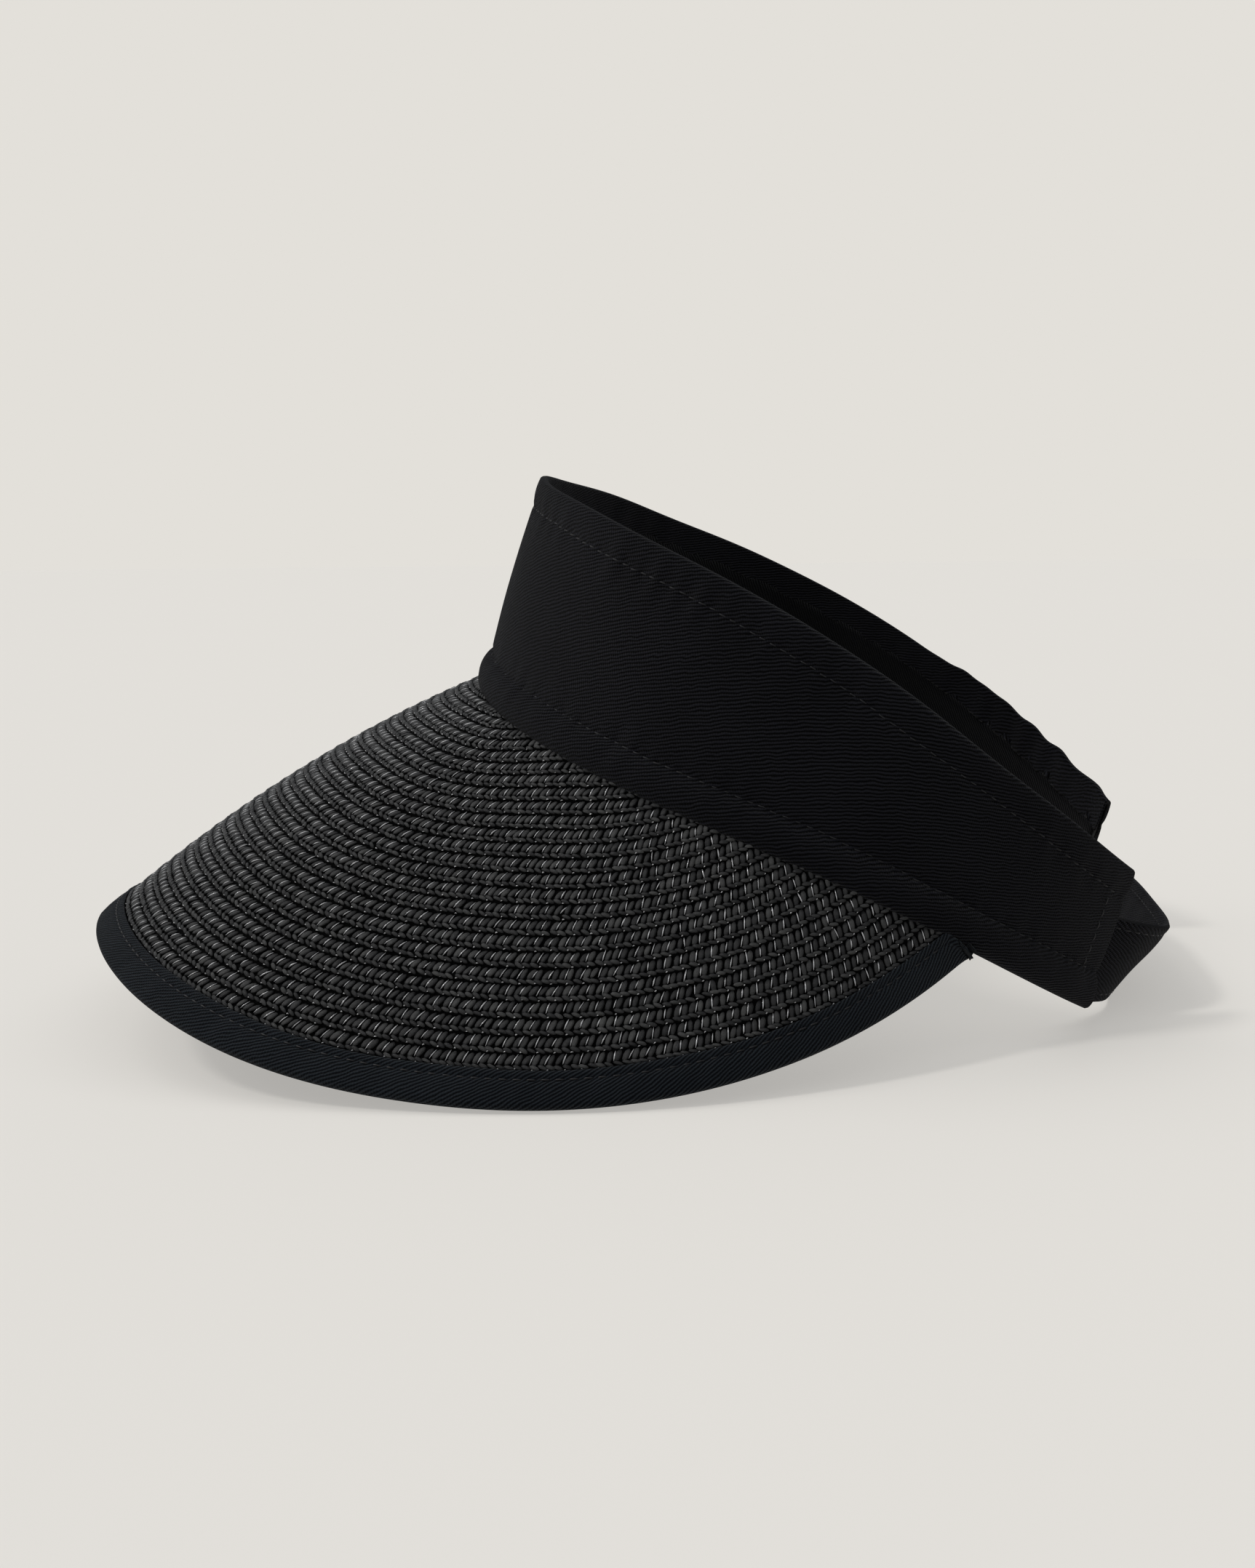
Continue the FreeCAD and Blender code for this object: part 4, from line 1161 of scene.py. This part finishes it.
def strap():
    """Folded and edge-stitched strap from the right end into the left one."""
    low_curve, span = strap_curve(STRAP_BULGE_LOW, lambda p: low_edge(p) + STRAP_LOW_GAP)
    top_curve, _ = strap_curve(STRAP_BULGE_TOP, lambda p: top_edge(p) - STRAP_TOP_GAP)

    def surface(part):
        low, top = low_curve(part), top_curve(part)
        step = 0.004
        ahead = low_curve(np.minimum(part + step, 1)) + top_curve(np.minimum(part + step, 1))
        behind = low_curve(np.maximum(part - step, 0)) + top_curve(np.maximum(part - step, 0))
        normal = unit(np.cross(ahead - behind, top - low))
        return low, top, normal

    part = np.linspace(0.0, 1.0, int(span / 0.6))
    low, top, normal = surface(part)
    length = part * span
    half = STRAP_PLY + PLY_GAP / 2
    rows = np.linspace(0, 1, 45)
    height = np.linalg.norm(top - low, axis=1)[:, None]
    from_edge = np.minimum(rows, 1 - rows) * height
    edge = np.sqrt(np.clip(1 - (1 - np.clip(from_edge / 0.9, 0, 1)) ** 2, 0, 1))
    pull = stitch_pull(length)[:, None]
    groove = bell(from_edge - STRAP_STITCH_INSET, 0.6) * (0.5 + 0.5 * pull) * 0.28
    open_part = np.clip(part / 0.06, 0, 1) * np.clip((0.66 - part) / 0.08, 0, 1)
    crease = (waves(length[:, None] * 0.9 + rows * 17, 51, 17.0, 0.22)
              + waves(length[:, None] - rows * 22, 52, 30.0, 0.35)) * open_part[:, None]
    crease *= np.sin(math.pi * rows) ** 0.5
    outer = half * edge - groove + crease
    inner = -half * edge + groove + crease
    spine = low[:, None] + (top - low)[:, None] * rows[..., None]
    front = spine + normal[:, None] * outer[..., None]
    back = (spine + normal[:, None] * inner[..., None])[:, ::-1][:, 1:-1]
    sections = np.concatenate([front, back], 1)
    across = np.concatenate([rows, (2 - rows)[1:-1]]) * float(height.mean())
    piece = strip_piece("strap_cloth", sections, cloth_uv(length, across, sections.shape[:2]))
    dress(piece, BAND_CLOTH)
    turned_low, turned_top, _ = surface(np.array([STRAP_TURN / span]))
    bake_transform(piece)
    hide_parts("strap_outer", "strap_lining")
    # stitching along both edges, on both faces
    centres, alongs, ups = [], [], []
    s = np.arange(4.0, span * 0.97, STITCH_PITCH)
    low, top, normal = surface(s / span)
    next_low, next_top, _ = surface((s + 0.5) / span)
    inset = STRAP_STITCH_INSET / np.linalg.norm(top - low, axis=1)[:, None]
    for share in (inset, 1 - inset):
        at = low + (top - low) * share
        along = unit(next_low + (next_top - next_low) * share - at)
        for up in (normal, -normal):
            centres.append(at + up * (half - 0.12))
            alongs.append(along)
            ups.append(up)
    thread = stitches("strap_stitch", *map(np.concatenate, (centres, alongs, ups)))
    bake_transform(thread)
    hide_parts("strap_topstitch")
    tapes(surface, half)


TAPE_INSET, LOOP_FIBRES, HOOKS = 3.4, 900, 700
HOOK_TAPE_PHI, FIBRE_RADIUS, HOOK_RADIUS = 131.0, 0.035, 0.05


def tapes(surface, half):
    """Loop tape on the strap's outer face and hook tape inside the left end."""
    part = np.linspace(0.60, 0.985, 90)
    low, top, normal = surface(part)
    rows = np.linspace(0, 1, 25)
    draw = np.random.default_rng(61)
    margin = TAPE_INSET / np.linalg.norm(top - low, axis=1)[:, None]
    share = margin + rows * (1 - 2 * margin)
    spine = low[:, None] + (top - low)[:, None] * share[..., None]
    edge = np.sin(math.pi * np.clip(rows * 0.98 + 0.01, 0, 1)) ** 0.25
    fuzz = draw.normal(0, 0.05, spine.shape[:2])
    taper = np.clip(np.minimum(part - part[0], part[-1] - part) / 0.01, 0.1, 1)[:, None]
    outer = half + 0.03 + (TAPE - 0.08) * edge * taper + fuzz * edge
    front = spine + normal[:, None] * outer[..., None]
    back = (spine + normal[:, None] * (half - 0.05))[:, ::-1][:, 1:-1]
    sections = np.concatenate([front, back], 1)
    loop = strip_piece("loop_tape_pad", sections, np.zeros((*sections.shape[:2], 2)))
    dress(loop, LOOP_TAPE)
    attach(loop, "strap")
    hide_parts("loop_patch")
    # fibres that stand off the loop tape, pale grey as painted glint
    count = LOOP_FIBRES
    at = draw.uniform(0.605, 0.98, count)
    low, top, normal = surface(at)
    share = draw.uniform(0.12, 0.88, count)[:, None]
    centre = low + (top - low) * share + normal * (half + TAPE * 0.8)
    lean = unit(draw.normal(0, 1, (count, 3)))
    along = unit(lean + normal * 0.35)
    side = unit(np.cross(normal, along))
    fibres = capsules("loop_tape_fibres", centre, along, side, unit(np.cross(along, side)),
                      draw.uniform(0.8, 1.6, count), FIBRE_RADIUS, 4, 4)
    dress(fibres, NYLON_PAINTED_GLINT)
    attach(fibres, "strap")

    first, last = length_at(math.radians(HOOK_TAPE_PHI)), wing_length(1) - 0.7
    hook = ply_strip("hook_tape_pad", 1, first, last, lambda p: low_edge(p) + 4.2,
                     lambda p: top_edge(p) - HEM - 0.4, -STACK - TAPE, -STACK - 0.02,
                     HOOK_TAPE)
    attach(hook, "left_wing")
    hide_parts("hook_patch")
    # nylon hooks, longest where they show along the end of the band, pale grey as painted glint
    count = HOOKS
    near_end = draw.uniform(0, 1, count) < 0.35
    s = np.where(near_end, last - draw.uniform(-0.5, 0.8, count), draw.uniform(first, last, count))
    phi = phi_at(s)
    low, top = low_edge(phi) + 4.5, top_edge(phi) - HEM - 0.6
    z = low + (top - low) * draw.uniform(0, 1, count)
    centre = wall(phi, z, -STACK - TAPE * 0.9)
    up = outward_level(phi)
    along = unit(-up * 0.5 + draw.normal(0, 0.7, (count, 3)))
    side = unit(np.cross(up, along))
    size = draw.uniform(0.4, 0.7, count) + near_end * draw.uniform(0.0, 0.7, count)
    curls = capsules("hook_tape_curls", centre, along, side, unit(np.cross(along, side)),
                     size, HOOK_RADIUS, 4, 4)
    dress(curls, NYLON_PAINTED_GLINT)
    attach(curls, "left_wing")


def hidden_parts():
    """Materials of the frame's own pieces that stay inside the cloth."""
    for node, material in (("brim_row_01", STRAW_CORE_PAINTED_SHADE), ("brim_edge_wire", BONING),
                           ("rear_elastic", ELASTIC)):
        mesh = frame["nodes"][node].data
        mesh.materials.clear()
        mesh.materials.append(material)


stage_and_camera()
for side in (1, -1):
    band_cloth(side)
    inner_plies(side)
    band_stitches(side)
sweatband()
brim_rows()
binding()
strap()
hidden_parts()
